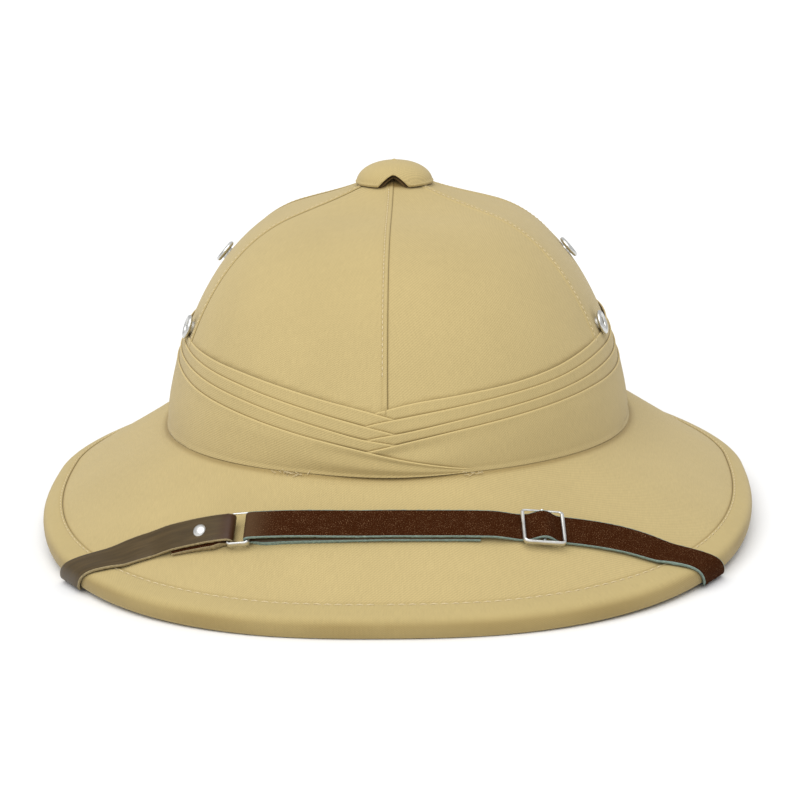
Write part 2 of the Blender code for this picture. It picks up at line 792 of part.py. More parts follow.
def route_lengths(route, start, end):
    """Lengths of the route's own stations between two ends, taken in order."""
    inside = [row["length"] for row in route if min(start, end) < row["length"] < max(start, end)]
    if start > end:
        inside.reverse()
    return inside


def strap_levels():
    """Heights of the strap's middle above the brim: laid on it, and on its own folded end."""
    laid = STRAP_SEAT + STRAP_THICKNESS / 2
    doubled = laid + STRAP_THICKNESS + STRAP_GAP
    return laid, doubled


def bar_radius(wire):
    """Radius of a strap's middle round a wire."""
    return wire + WIRE_GAP + STRAP_THICKNESS / 2


def build_strap_right(route, material, collection):
    laid, doubled = strap_levels()
    radius = bar_radius(LOOP_WIRE)
    bar = LOOP_PLACE + LOOP_LENGTH / 2
    ease = STRAP_WIDTH * 0.6
    path = [(FREE_END_RIGHT, laid)]
    path += [(length, laid) for length in route_lengths(route, FREE_END_RIGHT, bar + ease)]
    path += fold_round(bar, laid + radius, radius, -1.0)
    path += [(bar + ease * 0.5, laid + radius * 1.9)]
    buckle_start = BUCKLE_PLACE - BUCKLE_LENGTH / 2 - BUCKLE_WIRE * 2
    path += [(length, doubled) for length in route_lengths(route, bar + ease, FREE_END_RIGHT)]
    path += [(mix(FREE_END_RIGHT, buckle_start, 0.4), doubled), (buckle_start, laid)]
    hump = 2 * bar_radius(BUCKLE_WIRE)
    quarter = BUCKLE_LENGTH / 4
    rise = ((-1.5, 0.08), (-1.0, 0.5), (-0.5, 0.92), (0.0, 1.0), (0.5, 0.92), (1.0, 0.5), (1.5, 0.08))
    path += [(BUCKLE_PLACE + quarter * step, laid + hump * share) for step, share in rise]
    buckle_end = 2 * BUCKLE_PLACE - buckle_start
    path.append((buckle_end, laid))
    end = route[-1]["length"]
    path += [(length, laid) for length in route_lengths(route, buckle_end + 0.001, end)]
    path.append((end, laid))
    return strap_solid("strap_right", route, path, material, collection)


def build_strap_left(route, material, collection):
    laid, doubled = strap_levels()
    radius = bar_radius(LOOP_WIRE)
    bar = LOOP_PLACE - LOOP_LENGTH / 2
    ease = STRAP_WIDTH * 0.6
    free_end = bar - FOLD_BACK_LEFT
    path = [(free_end, laid)]
    path += [(length, laid) for length in route_lengths(route, free_end, bar - ease)]
    path += fold_round(bar, laid + radius, radius, 1.0)
    path += [(bar - ease * 0.5, laid + radius * 1.9)]
    path += [(length, doubled) for length in route_lengths(route, bar - ease, free_end)]
    landing = free_end - ease
    path += [(free_end, doubled), (landing, laid)]
    end = route[0]["length"]
    path += [(length, laid) for length in route_lengths(route, landing, end)]
    path.append((end, laid))
    return strap_solid("strap_left", route, path, material, collection)


# The strap's metal

def local_matrix(route, length, height):
    """A frame on the strap: X along it, Y across it from its middle, Z out of the brim."""
    frame = route_frame(route, length)
    across = frame["ruling"].normalized()
    out = frame["along"].cross(across).normalized()
    along = across.cross(out)
    matrix = Matrix((along, across, out)).transposed().to_4x4()
    matrix.translation = frame["edge"] + frame["ruling"] * STRAP_WIDTH / 2 + out * height
    return matrix


def wire_frame(name, length, width, wire, place):
    """A rectangular loop of round wire as a closed mesh, its corners rounded."""
    corner = wire * 1.8
    half_length = length / 2
    half_width = width / 2
    outline = []
    for quadrant, (side_x, side_y) in enumerate(((1, 1), (-1, 1), (-1, -1), (1, -1))):
        for step in range(4):
            turn = math.radians(90.0 * quadrant + 30.0 * step)
            outline.append((side_x * (half_length - corner) + corner * math.cos(turn),
                            side_y * (half_width - corner) + corner * math.sin(turn)))
    curve = bpy.data.curves.new(name, "CURVE")
    curve.dimensions = "3D"
    curve.bevel_depth = wire
    curve.bevel_resolution = 1
    path = curve.splines.new("POLY")
    path.points.add(len(outline) - 1)
    for knot, (x, y) in zip(path.points, outline):
        knot.co = (x, y, 0.0, 1.0)
    path.use_cyclic_u = True
    guide = bpy.data.objects.new(name + "_guide", curve)
    bpy.context.scene.collection.objects.link(guide)
    bpy.context.view_layer.update()
    evaluated = guide.evaluated_get(bpy.context.evaluated_depsgraph_get())
    mesh = bpy.data.meshes.new_from_object(evaluated)
    bpy.data.objects.remove(guide)
    mesh.transform(place)
    mesh.name = name
    return mesh


def loop_height():
    return strap_levels()[0] + bar_radius(LOOP_WIRE)


def build_strap_loop(route, material, collection):
    width = STRAP_WIDTH + 2 * (WIRE_SIDE_GAP + LOOP_WIRE)
    place = local_matrix(route, LOOP_PLACE, loop_height())
    mesh = wire_frame("strap_loop", LOOP_LENGTH, width, LOOP_WIRE, place)
    return add_object("strap_loop", mesh, material, collection)


def build_strap_buckle(route, material, collection, cutters):
    """A slide of round wire with a middle bar, over which the strap is humped."""
    height = strap_levels()[0] + bar_radius(BUCKLE_WIRE)
    width = STRAP_WIDTH + 2 * (WIRE_SIDE_GAP + BUCKLE_WIRE)
    place = local_matrix(route, BUCKLE_PLACE, height)
    mesh = wire_frame("strap_buckle", BUCKLE_LENGTH, width, BUCKLE_WIRE, place)
    buckle = add_object("strap_buckle", mesh, material, collection)
    lie_across = Matrix.Rotation(math.radians(90.0), 4, "X")
    bar = add_cutter("buckle_bar", BUCKLE_WIRE, width, place @ lie_across, cutters, 10)
    join = buckle.modifiers.new("Middle bar", "BOOLEAN")
    join.operation = "UNION"
    join.solver = "EXACT"
    join.object = bar
    return buckle


def build_strap_stud(route, material, collection):
    doubled = strap_levels()[1]
    seat = doubled + STRAP_THICKNESS / 2 + FASTENER_GAP
    place = local_matrix(route, LOOP_PLACE - LOOP_LENGTH / 2 - STUD_SETBACK, seat)
    profile = [(0.0, STUD_DOME), (STUD_RADIUS * 0.45, STUD_DOME * 0.88)]
    profile += [(STUD_RADIUS * 0.8, STUD_DOME * 0.5), (STUD_RADIUS, 0.0), (0.0, 0.0)]
    return turned("strap_stud", profile, 14, material, collection, place)


def build_anchors(route, material, collection, cutters, shell, straps):
    """Plain rivets that hold the strap's hidden ends under the foot of the crown."""
    laid = strap_levels()[0]
    head_seat = laid + STRAP_THICKNESS / 2 + FASTENER_GAP
    shank_end = -ANCHOR_DEPTH
    profile = [
        (0.0, head_seat + ANCHOR_HEAD),
        (ANCHOR_RADIUS * 0.7, head_seat + ANCHOR_HEAD),
        (ANCHOR_RADIUS, head_seat),
        (ANCHOR_SHANK, head_seat),
        (ANCHOR_SHANK, shank_end),
        (0.0, shank_end),
    ]
    hole = ANCHOR_SHANK + FASTENER_GAP
    for side, strap, setback in (("right", straps[0], -ANCHOR_SETBACK),
                                 ("left", straps[1], ANCHOR_SETBACK)):
        end = route[-1] if side == "right" else route[0]
        place = local_matrix(route, end["length"] + setback, 0.0)
        turned("strap_anchor_" + side, profile, 12, material, collection, place)
        depth = 2 * (ANCHOR_DEPTH + LAYER_GAP)
        cutter = add_cutter("anchor_hole_" + side, hole, depth, place, cutters)
        cut(shell, cutter)
        cut(strap, cutter)


def main():
    for old in list(bpy.data.objects):
        bpy.data.objects.remove(old)
    parts = new_collection("pith_helmet")
    cutters = new_collection("cutters")
    pith = make_material("pith", (0.55, 0.47, 0.33), 0.9)
    twill = make_material("khaki_twill", (0.62, 0.50, 0.26), 0.85)
    binding = make_material("binding_cloth", (0.50, 0.42, 0.22), 0.8)
    smooth_leather = make_material("grain_leather", (0.08, 0.05, 0.035), 0.45)
    suede = make_material("suede_leather", (0.05, 0.015, 0.008), 0.9)
    metal = make_material("nickel", (0.75, 0.75, 0.73), 0.25, 1.0)

    shell = build_shell(pith, parts)
    gores = [build_gore(number, twill, parts) for number in range(GORES)]
    build_brim_cover(twill, parts)
    build_edge_binding(binding, parts)
    pugaree = build_pugaree(twill, parts)
    build_vent_cap(twill, parts, cutters)
    build_vent_post(pith, parts)
    build_eyelets(metal, parts, cutters, shell, gores, pugaree)

    route = strap_route()
    straps = (build_strap_right(route, suede, parts), build_strap_left(route, smooth_leather, parts))
    build_strap_loop(route, metal, parts)
    build_strap_buckle(route, metal, parts, cutters)
    build_strap_stud(route, metal, parts)
    build_anchors(route, metal, parts, cutters, shell, straps)


main()
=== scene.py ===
"""The looks of a pith helmet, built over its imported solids.

Metres, +Z up. The front of the helmet faces -Y, and it stands on the floor at Z = 0.
Azimuths are in degrees from the front towards +X, which is the viewer's right.
"""
import math

import bpy
import numpy as np
from bpy.props import FloatProperty, FloatVectorProperty, IntProperty, PointerProperty
from mathutils import Matrix, Vector


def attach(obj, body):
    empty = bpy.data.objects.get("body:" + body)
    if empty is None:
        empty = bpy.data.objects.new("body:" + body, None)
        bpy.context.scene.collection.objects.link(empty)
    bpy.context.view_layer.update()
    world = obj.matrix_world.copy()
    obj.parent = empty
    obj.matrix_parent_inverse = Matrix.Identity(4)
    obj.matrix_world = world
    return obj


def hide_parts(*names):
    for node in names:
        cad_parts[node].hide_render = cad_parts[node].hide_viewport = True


bl_info = {
    "name": "Pith helmet",
    "version": (1, 0, 0),
    "blender": (4, 5, 0),
    "location": "3D View > Sidebar > Helmet",
    "description": "Builds the cloth, leather and metal of a pith helmet over its solids",
    "category": "Add Mesh",
}

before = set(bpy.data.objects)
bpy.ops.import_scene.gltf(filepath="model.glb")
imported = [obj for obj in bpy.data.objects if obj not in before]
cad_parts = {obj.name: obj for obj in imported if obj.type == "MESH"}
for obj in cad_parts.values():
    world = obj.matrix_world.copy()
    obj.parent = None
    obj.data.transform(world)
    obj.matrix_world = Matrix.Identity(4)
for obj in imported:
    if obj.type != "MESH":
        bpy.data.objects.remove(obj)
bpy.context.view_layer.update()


# Shape of the helmet, as in its solids

BRIM_WIDTH = 0.280
BRIM_LENGTH = 0.342
BRIM_POWER_FRONT = 2.47
BRIM_POWER_BACK = 1.72
BRIM_POWER_TAIL = 2.0
TAIL_START = 105.0
TAIL_END = 180.0
CROWN_WIDTH = 0.184
CROWN_LENGTH = 0.2338
CROWN_POWER = 2.1
RIM_DIP = 0.0044
DIP_SPREAD = 1.05
CROWN_FOOT_SIDE = 0.0364
CROWN_FOOT_END = 0.0432
DOME_TOP = 0.1203
PEAK_RISE = 0.0127
PEAK_REACH = 0.045
DOME_ROUNDNESS = 0.58
DOME_FULLNESS = 1.39
BAND_HEIGHT = 0.0366
BAND_TUCK = 0.0030
BAND_PROUD = 0.0013
SHELL_DEPTH = 0.0055
LIP_HEIGHT = 0.0070
HEM_SIDE = 0.0072
HEM_END = 0.0101
HEM_RISE = 0.0020
HEM_PROUD = 0.0005
CAP_RADIUS = 0.0150
CAP_HEIGHT = 0.0080
CAP_HEM = 0.0008
CAP_SEAT_GAP = 0.0006
EYELET_RADIUS = 0.0048
EYELET_BORE = 0.0023
EYELET_SEAT = 0.0005
EYELETS = {
    "eyelet_left_low": (-66.5, 0.0760, BAND_PROUD + EYELET_SEAT),
    "eyelet_right_low": (66.5, 0.0760, BAND_PROUD + EYELET_SEAT),
    "eyelet_left_high": (-97.0, 0.0978, EYELET_SEAT),
    "eyelet_right_high": (97.0, 0.0978, EYELET_SEAT),
}
STRAP_WIDTH = 0.0108
STRAP_THICKNESS = 0.0011
STRAP_SEAT = 0.0006
STRAP_GAP = 0.0003
LOOP_PLACE = -0.0515
LOOP_LENGTH = 0.0075
LOOP_WIRE = 0.0006
WIRE_SIDE_GAP = 0.0005
WIRE_GAP = 0.0005
BUCKLE_PLACE = 0.0540
BUCKLE_LENGTH = 0.0143
BUCKLE_WIRE = 0.0007
FREE_END_RIGHT = 0.0320
FOLD_BACK_LEFT = 0.0215
STUD_RADIUS = 0.0027
STUD_DOME = 0.0013
STUD_SETBACK = 0.0103
PLIES_OPEN = 0.0400
FOLD_LEAN = 1.8
PANEL_CLOTH = 0.0007
BRIM_CLOTH = 0.0008
CAP_CLOTH = 0.0010
BAND_MEAN_REACH = 0.107
BACK_BAR_THINNED = 0.6
BACK_BAR_DRAWN = 0.45
BACK_BAR_TUCK = 0.0003
STUD_FULLNESS = 1.5
FRAY_THICKNESS = 0.22
RING_COLUMNS = 540
FLOOR_SIZE = 14.0
FLOOR_CLEARANCE = 0.0002

# Section of the lip from the hem seam over the rim and under it: share of the hem's width
# inwards from the rim, and share of the lip's height
LIP_SECTION = (
    (1.00, 1.36), (0.55, 1.20), (0.20, 1.03), (0.03, 0.80), (0.00, 0.50), (0.05, 0.14),
    (0.15, 0.00), (0.45, 0.00), (1.15, 0.40),
)

# The strap's front edge: azimuth, place over the brim, lean, share following the rim, spread
STRAP_ROUTE = (
    (0.0, 0.55, 5.0, 0.0, 1.00),
    (12.0, 0.575, 6.0, 0.0, 1.00),
    (20.0, 0.635, 8.0, 0.0, 1.00),
    (26.0, 0.71, 12.0, 0.0, 1.00),
    (31.0, 0.81, 14.0, 0.1, 1.00),
    (34.5, 0.92, 12.0, 0.3, 1.05),
    (37.0, 1.04, 6.0, 0.7, 1.20),
    (39.2, 1.24, 0.0, 1.0, 1.35),
    (40.6, 1.42, 0.0, 1.0, 1.35),
    (41.4, 1.58, 0.0, 1.0, 1.35),
    (42.2, 1.74, 0.0, 1.0, 1.35),
    (44.5, 1.90, 0.0, 1.0, 1.30),
    (49.0, 2.12, 0.0, 0.5, 1.10),
    (57.0, 2.35, 0.0, 0.1, 1.00),
    (67.0, 2.58, 0.0, 0.0, 1.00),
    (77.0, 2.78, 0.0, 0.0, 1.00),
    (84.0, 2.88, 0.0, 0.0, 1.00),
)

# Folded edges of the band's pleats in the order in which they lie on each other, the lowest
# first: (azimuth, height above the floor in millimetres)
PLEATS = {
    "right_1": ((-7.0, 60.0), (-2.5, 62.3), (3.4, 65.0), (13.0, 67.1), (26.4, 68.9), (36.3, 70.3),
                (47.8, 72.0), (61.2, 73.3), (80.8, 73.6), (105.0, 73.4), (135.0, 72.6), (180.0, 72.0)),
    "left_1": ((-180.0, 72.0), (-135.0, 72.6), (-105.0, 73.6), (-75.0, 73.8), (-57.6, 73.0),
               (-41.7, 72.2), (-31.1, 71.2), (-20.8, 69.0), (-12.4, 66.3), (-2.5, 62.3), (1.0, 60.3),
               (7.0, 56.5)),
    "right_2": ((-7.0, 56.3), (-2.9, 58.6), (3.6, 61.0), (11.2, 63.0), (21.8, 65.0), (35.6, 66.6),
                (45.8, 67.8), (56.5, 68.7), (74.1, 68.8), (105.0, 68.7), (135.0, 68.0), (180.0, 67.4)),
    "left_2": ((-180.0, 67.4), (-135.0, 68.4), (-105.0, 70.0), (-68.2, 70.6), (-49.6, 69.3),
               (-28.6, 66.5), (-15.7, 62.8), (-4.0, 58.0), (1.4, 55.3), (7.0, 51.8)),
    "right_3": ((-7.0, 51.6), (-2.7, 54.0), (3.1, 56.0), (11.0, 58.5), (17.7, 60.1), (25.6, 61.4),
                (34.8, 62.4), (44.6, 63.2), (57.9, 63.9), (78.2, 63.8), (105.0, 63.6), (135.0, 63.0),
                (180.0, 62.6)),
    "left_3": ((-180.0, 62.6), (-135.0, 64.0), (-105.0, 66.2), (-65.6, 66.5), (-47.3, 64.9),
               (-26.7, 61.6), (-11.2, 56.6), (-5.0, 54.0), (2.5, 51.3), (8.0, 47.8)),
    "right_4": ((-7.0, 47.8), (-2.7, 50.1), (2.5, 52.5), (11.0, 55.3), (17.5, 56.7), (25.2, 57.9),
                (34.2, 58.8), (47.6, 59.3), (59.8, 59.0), (76.3, 58.5), (105.0, 58.0), (135.0, 56.4),
                (180.0, 55.0)),
    "left_4": ((-180.0, 55.0), (-135.0, 57.6), (-105.0, 61.6), (-64.9, 62.4), (-48.8, 60.4),
               (-29.2, 57.4), (-15.3, 53.7), (-3.8, 49.8), (3.6, 46.4), (7.7, 44.6), (17.9, 40.3),
               (24.0, 37.4)),
}


# Smooth curves through values

def smooth(value):
    share = np.clip(value, 0.0, 1.0)
    return share * share * (3.0 - 2.0 * share)


def mix(start, end, share):
    return start + (end - start) * share


def curve_through(places, values, at):
    """A smooth curve through unevenly spaced values, read at one place or many."""
    places = np.asarray(places, float)
    values = np.asarray(values, float)
    slopes = np.gradient(values, places)
    at = np.clip(at, places[0], places[-1])
    index = np.clip(np.searchsorted(places, at, side="right") - 1, 0, len(places) - 2)
    width = places[index + 1] - places[index]
    share = (at - places[index]) / width
    cube = share ** 3
    square = share ** 2
    return ((2 * cube - 3 * square + 1) * values[index]
            + (cube - 2 * square + share) * width * slopes[index]
            + (3 * square - 2 * cube) * values[index + 1]
            + (cube - square) * width * slopes[index + 1])


def evenly(reach, level, rows):
    """Each column's profile of reach and level, with its rows spaced evenly along it."""
    steps = np.hypot(np.diff(reach, axis=0), np.diff(level, axis=0))
    run = np.vstack([np.zeros(reach.shape[1]), np.cumsum(steps, axis=0)])
    even_reach = np.empty((rows, reach.shape[1]))
    even_level = np.empty((rows, reach.shape[1]))
    even_run = np.empty((rows, reach.shape[1]))
    for column in range(reach.shape[1]):
        even_run[:, column] = np.linspace(0.0, run[-1, column], rows)
        even_reach[:, column] = np.interp(even_run[:, column], run[:, column], reach[:, column])
        even_level[:, column] = np.interp(even_run[:, column], run[:, column], level[:, column])
    return even_reach, even_level, even_run


def ripple(across, along, seed, waves=5):
    """A gentle, repeatable unevenness of cloth between about -1 and 1."""
    turns = np.random.default_rng(seed)
    total = 0.0
    for _ in range(waves):
        pitch = turns.uniform(-1.0, 1.0, 2)
        total = total + np.sin(across * pitch[0] + along * pitch[1] + turns.uniform(0.0, 6.3))
    return total / waves


# Surfaces of the helmet

def oval_reach(azimuth, half_width, half_length, power):
    """Distance from the helmet's axis to an oval that is squarer as its power rises."""
    side = np.abs(np.sin(np.radians(azimuth)))
    ahead = np.abs(np.cos(np.radians(azimuth)))
    return ((side / half_width) ** power + (ahead / half_length) ** power) ** (-1.0 / power)


def brim_power(azimuth):
    turn = np.abs((azimuth + 180.0) % 360.0 - 180.0)
    tail = smooth((turn - TAIL_START) / (TAIL_END - TAIL_START))
    return np.where(turn < 90.0, BRIM_POWER_FRONT, mix(BRIM_POWER_BACK, BRIM_POWER_TAIL, tail))


def end_share(azimuth):
    """1 at the front and the back of the helmet, falling to 0 at its sides."""
    return np.minimum(DIP_SPREAD * np.cos(np.radians(azimuth)) ** 2, 1.0)


def rim_reach(azimuth, inset_side=0.0, inset_end=0.0):
    return oval_reach(azimuth, BRIM_WIDTH / 2 - inset_side, BRIM_LENGTH / 2 - inset_end,
                      brim_power(azimuth))


def rim_floor(azimuth):
    return RIM_DIP * (1.0 - end_share(azimuth))


def foot_level(azimuth):
    return mix(CROWN_FOOT_SIDE, CROWN_FOOT_END, end_share(azimuth))


def crown_foot_reach(azimuth):
    return oval_reach(azimuth, CROWN_WIDTH / 2, CROWN_LENGTH / 2, CROWN_POWER)


def dome_reach(azimuth, level):
    """Distance from the axis to the crown's full outline at one level."""
    rise = (level - foot_level(azimuth)) / (DOME_TOP - foot_level(azimuth))
    sine = np.clip(rise, 0.0, 1.0) ** (1.0 / DOME_FULLNESS)
    return crown_foot_reach(azimuth) * np.sqrt(1.0 - sine * sine) ** DOME_ROUNDNESS


def crown_reach(azimuth, level):
    """The same, drawn in where the band lies over the crown."""
    share = (level - foot_level(azimuth)) / BAND_HEIGHT
    return dome_reach(azimuth, level) - BAND_TUCK * (1.0 - smooth((share - 0.6) / 0.55))


def peak_level(reach):
    return PEAK_RISE * np.maximum(0.0, 1.0 - reach / PEAK_REACH) ** 2


def seam_point(azimuth):
    return rim_reach(azimuth, HEM_SIDE, HEM_END), rim_floor(azimuth) + LIP_HEIGHT + HEM_RISE


def brim_point(azimuth, share):
    """Reach and level on the brim, from the crown's foot at 0 to the hem at 1."""
    foot = foot_level(azimuth)
    seam_reach, seam_level = seam_point(azimuth)
    return (mix(crown_reach(azimuth, foot), seam_reach, share), mix(foot, seam_level, share))


def brim_level(azimuth, reach):
    inner_reach, inner_level = brim_point(azimuth, 0.0)
    outer_reach, outer_level = brim_point(azimuth, 1.0)
    return mix(inner_level, outer_level, (reach - inner_reach) / (outer_reach - inner_reach))


def lip_point(azimuth, row):
    """Reach and level on the rolled lip, at one row of its section or between two."""
    hem = rim_reach(azimuth) - rim_reach(azimuth, HEM_SIDE, HEM_END)
    index = min(int(row), len(LIP_SECTION) - 2)
    start = LIP_SECTION[index]
    end = LIP_SECTION[index + 1]
    inwards = mix(start[0], end[0], row - index)
    level = rim_floor(azimuth) + LIP_HEIGHT * mix(start[1], end[1], row - index)
    return rim_reach(azimuth) - hem * inwards, level


def place_points(azimuth, reach, level):
    """Points in metres from azimuths, reaches from the axis and levels above the floor."""
    angle = np.radians(azimuth)
    return np.stack([reach * np.sin(angle), -reach * np.cos(angle),
                     np.broadcast_to(level, np.shape(reach * angle))], axis=-1)


def cap_level():
    return DOME_TOP + PEAK_RISE * (1.0 - CAP_RADIUS / PEAK_REACH) ** 2 + CAP_SEAT_GAP


# Making meshes

def clear_selection():
    if bpy.context.object and bpy.context.object.mode != "OBJECT":
        bpy.ops.object.mode_set(mode="OBJECT")
    bpy.ops.object.select_all(action="DESELECT")


def take(piece):
    """Select one piece alone and make it the active one."""
    clear_selection()
    piece.select_set(True)
    bpy.context.view_layer.objects.active = piece


def added(name):
    """The primitive that was just added, under its own name."""
    piece = bpy.context.object
    piece.name = name
    piece.data.name = name
    return piece


def edit_all(*steps):
    """Run edit-mode steps on everything in the active piece."""
    bpy.ops.object.mode_set(mode="EDIT")
    bpy.ops.mesh.select_all(action="SELECT")
    for step, settings in steps:
        step(**settings)
    bpy.ops.object.mode_set(mode="OBJECT")


def apply_modifier(piece, name, kind, **settings):
    take(piece)
    modifier = piece.modifiers.new(name, kind)
    for key, value in settings.items():
        setattr(modifier, key, value)
    bpy.ops.object.modifier_apply(modifier=modifier.name)


def join_pieces(pieces):
    """Join pieces into the first of them."""
    clear_selection()
    for piece in pieces:
        piece.select_set(True)
    bpy.context.view_layer.objects.active = pieces[0]
    bpy.ops.object.join()


def lay_grid(name, points, weave, close=False, crease=None):
    """A grid primitive shaped to rows and columns of points, with its weave map in metres.

    The crease attribute paints light and shade into the cloth: 1 is painted shade, in the bottom of a fold
    or seam and other shaded places, and -1 is a painted highlight on a folded edge. On the straps it marks
    the leather's worn fold instead.
    """
    rows, columns = points.shape[:2]
    clear_selection()
    bpy.ops.mesh.primitive_grid_add(x_subdivisions=columns - 1, y_subdivisions=rows - 1, size=1.0)
    piece = added(name)
    mesh = piece.data
    if len(mesh.vertices) != rows * columns:
        raise RuntimeError("%s: the grid has %d points" % (name, len(mesh.vertices)))
    flat = np.empty(len(mesh.vertices) * 3)
    mesh.vertices.foreach_get("co", flat)
    flat = flat.reshape(-1, 3)
    column = np.rint((flat[:, 0] + 0.5) * (columns - 1)).astype(int)
    row = np.rint((flat[:, 1] + 0.5) * (rows - 1)).astype(int)
    mesh.vertices.foreach_set("co", points[row, column].ravel())
    corners = np.empty(len(mesh.loops), int)
    mesh.loops.foreach_get("vertex_index", corners)
    chart = mesh.uv_layers.active or mesh.uv_layers.new(name="weave")
    chart.name = "weave"
    chart.data.foreach_set("uv", weave[row, column][corners].ravel())
    if crease is not None:
        depth = mesh.attributes.new("crease", "FLOAT", "POINT")
        depth.data.foreach_set("value", np.broadcast_to(crease, (rows, columns))[row, column])
    mesh.update()
    if close:
        edit_all((bpy.ops.mesh.remove_doubles, {"threshold": 0.000001}))
    return piece


def outward(piece, centre=(0.0, 0.0, -0.05)):
    """Turn the faces of an open skin away from a point inside the helmet."""
    middle = Vector(centre)
    total = sum((face.center - middle).dot(face.normal) * face.area for face in piece.data.polygons)
    if total < 0.0:
        take(piece)
        edit_all((bpy.ops.mesh.flip_normals, {}))


def finish_piece(piece, material, replaces=(), angle=40.0):
    """Put a piece's place in its mesh, shade it, and let it ride on the helmet."""
    take(piece)
    bpy.ops.object.transform_apply(location=True, rotation=True, scale=True)
    bpy.ops.object.shade_smooth_by_angle(angle=math.radians(angle))
    if material:
        piece.data.materials.clear()
        piece.data.materials.append(material)
    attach(piece, "root")
    if replaces:
        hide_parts(*replaces)
    return piece


# Materials

def new_material(name, colour, roughness, metallic=0.0):
    material = bpy.data.materials.new(name)
    material.use_nodes = True
    shader = material.node_tree.nodes["Principled BSDF"]
    shader.inputs["Base Color"].default_value = (*colour, 1.0)
    shader.inputs["Roughness"].default_value = roughness
    shader.inputs["Metallic"].default_value = metallic
    return material, shader


def add_node(material, kind, **settings):
    node = material.node_tree.nodes.new(kind)
    for key, value in settings.items():
        setattr(node, key, value)
    return node


def join(material, output, entry):
    material.node_tree.links.new(output, entry)


def scaled(material, source, scale, turn=0.0):
    """A pattern's coordinates, scaled and turned."""
    coordinates = add_node(material, "ShaderNodeTexCoord")
    mapping = add_node(material, "ShaderNodeMapping")
    mapping.inputs["Scale"].default_value = scale
    mapping.inputs["Rotation"].default_value = (0.0, 0.0, math.radians(turn))
    join(material, coordinates.outputs[source], mapping.inputs["Vector"])
    return mapping.outputs["Vector"]


def noise(material, source, scale, detail=2.0, roughness=0.5):
    texture = add_node(material, "ShaderNodeTexNoise")
    texture.inputs["Scale"].default_value = 1.0
    texture.inputs["Detail"].default_value = detail
    texture.inputs["Roughness"].default_value = roughness
    join(material, scaled(material, source, scale), texture.inputs["Vector"])
    return texture.outputs["Fac"]


def threads(material, pitch, turn):
    """Ribs of thread across the weave map, one for each pitch."""
    texture = add_node(material, "ShaderNodeTexWave")
    texture.wave_type = "BANDS"
    texture.bands_direction = "X"
    texture.inputs["Scale"].default_value = 1.0
    texture.inputs["Distortion"].default_value = 1.5
    texture.inputs["Detail"].default_value = 1.0
    rate = 2.0 * math.pi / 20.0 / pitch
    join(material, scaled(material, "UV", (rate, rate, rate), turn), texture.inputs["Vector"])
    return texture.outputs["Fac"]


def combine(material, first, second, share):
    node = add_node(material, "ShaderNodeMix", data_type="FLOAT")
    node.inputs[0].default_value = share
    join(material, first, node.inputs[2])
    join(material, second, node.inputs[3])
    return node.outputs[0]


def ramp(material, factor, stops):
    node = add_node(material, "ShaderNodeValToRGB")
    elements = node.color_ramp.elements
    while len(elements) < len(stops):
        elements.new(0.5)
    for element, (position, colour) in zip(elements, stops):
        element.position = position
        element.color = (*colour, 1.0)
    join(material, factor, node.inputs["Fac"])
    return node.outputs["Color"]


def bump(material, shader, height, distance, strength=1.0, after=None):
    node = add_node(material, "ShaderNodeBump")
    node.inputs["Distance"].default_value = distance
    node.inputs["Strength"].default_value = strength
    join(material, height, node.inputs["Height"])
    if after:
        join(material, after, node.inputs["Normal"])
    join(material, node.outputs["Normal"], shader.inputs["Normal"])
    return node.outputs["Normal"]


def blend(material, share, first, second, kind="MIX"):
    """One colour laid over another by the share that a node gives."""
    node = add_node(material, "ShaderNodeMix", data_type="RGBA", blend_type=kind)
    join(material, share, node.inputs[0])
    join(material, first, node.inputs[6])
    node.inputs[7].default_value = (*second, 1.0)
    return node.outputs[2]


def tones(colour, *factors):
    return [tuple(min(channel * factor, 1.0) for channel in colour) for factor in factors]


def paint(material, shader, factor, colour, shades, stops=(0.3, 0.7)):
    """Colour the surface from its dark to its light tone as the factor rises."""
    tone = ramp(material, factor, list(zip(stops, tones(colour, *shades))))
    join(material, tone, shader.inputs["Base Color"])


def woven_cloth(name, colour, pitch):
    """Cotton twill: fine diagonal ribs, slubs along the warp and slight unevenness of tone, with painted
    shade and a painted highlight from the crease attribute.
    """
    material, shader = new_material(name, colour, 0.86)
    shader.inputs["Sheen Weight"].default_value = 0.12
    shader.inputs["Sheen Roughness"].default_value = 0.5
    shader.inputs["Specular IOR Level"].default_value = 0.25
    diagonal = threads(material, pitch, 55.0)
    weft = threads(material, pitch * 0.8, 90.0)
    weave = combine(material, diagonal, weft, 0.35)
    slubs = noise(material, "UV", (2600.0, 260.0, 1.0), 2.0)
    cloudy = noise(material, "Object", (28.0, 28.0, 28.0), 3.0)
    grain = combine(material, weave, slubs, 0.5)
    factor = combine(material, grain, cloudy, 0.25)
    # The lightest of these tones is a painted highlight for folded edges.
    dark, light, wear_and_highlight = tones(colour, 0.86, 1.13, 1.32)
    woven_tone = ramp(material, factor, ((0.28, dark), (0.72, light)))
    # Painted shade: a positive crease attribute multiplies the cloth towards a dark olive brown. Painted
    # highlight: a negative one lightens it towards the lightest tone.
    crease = add_node(material, "ShaderNodeAttribute", attribute_name="crease").outputs["Fac"]
    edge = add_node(material, "ShaderNodeMath", operation="MULTIPLY")
    join(material, crease, edge.inputs[0])
    edge.inputs[1].default_value = -1.0
    painted_shade = blend(material, crease, woven_tone, (0.42, 0.33, 0.15), "MULTIPLY")
    join(material, blend(material, edge.outputs[0], painted_shade, wear_and_highlight), shader.inputs["Base Color"])
    soft = bump(material, shader, noise(material, "UV", (70.0, 45.0, 1.0), 3.0), 0.0008, 0.35)
    bump(material, shader, grain, 0.00016, 0.42, soft)
    return material


def sewing_thread(name, colour):
    material, shader = new_material(name, colour, 0.7)
    twist = noise(material, "Object", (2500.0, 2500.0, 2500.0), 1.0)
    paint(material, shader, twist, colour, (0.85, 1.1))
    return material


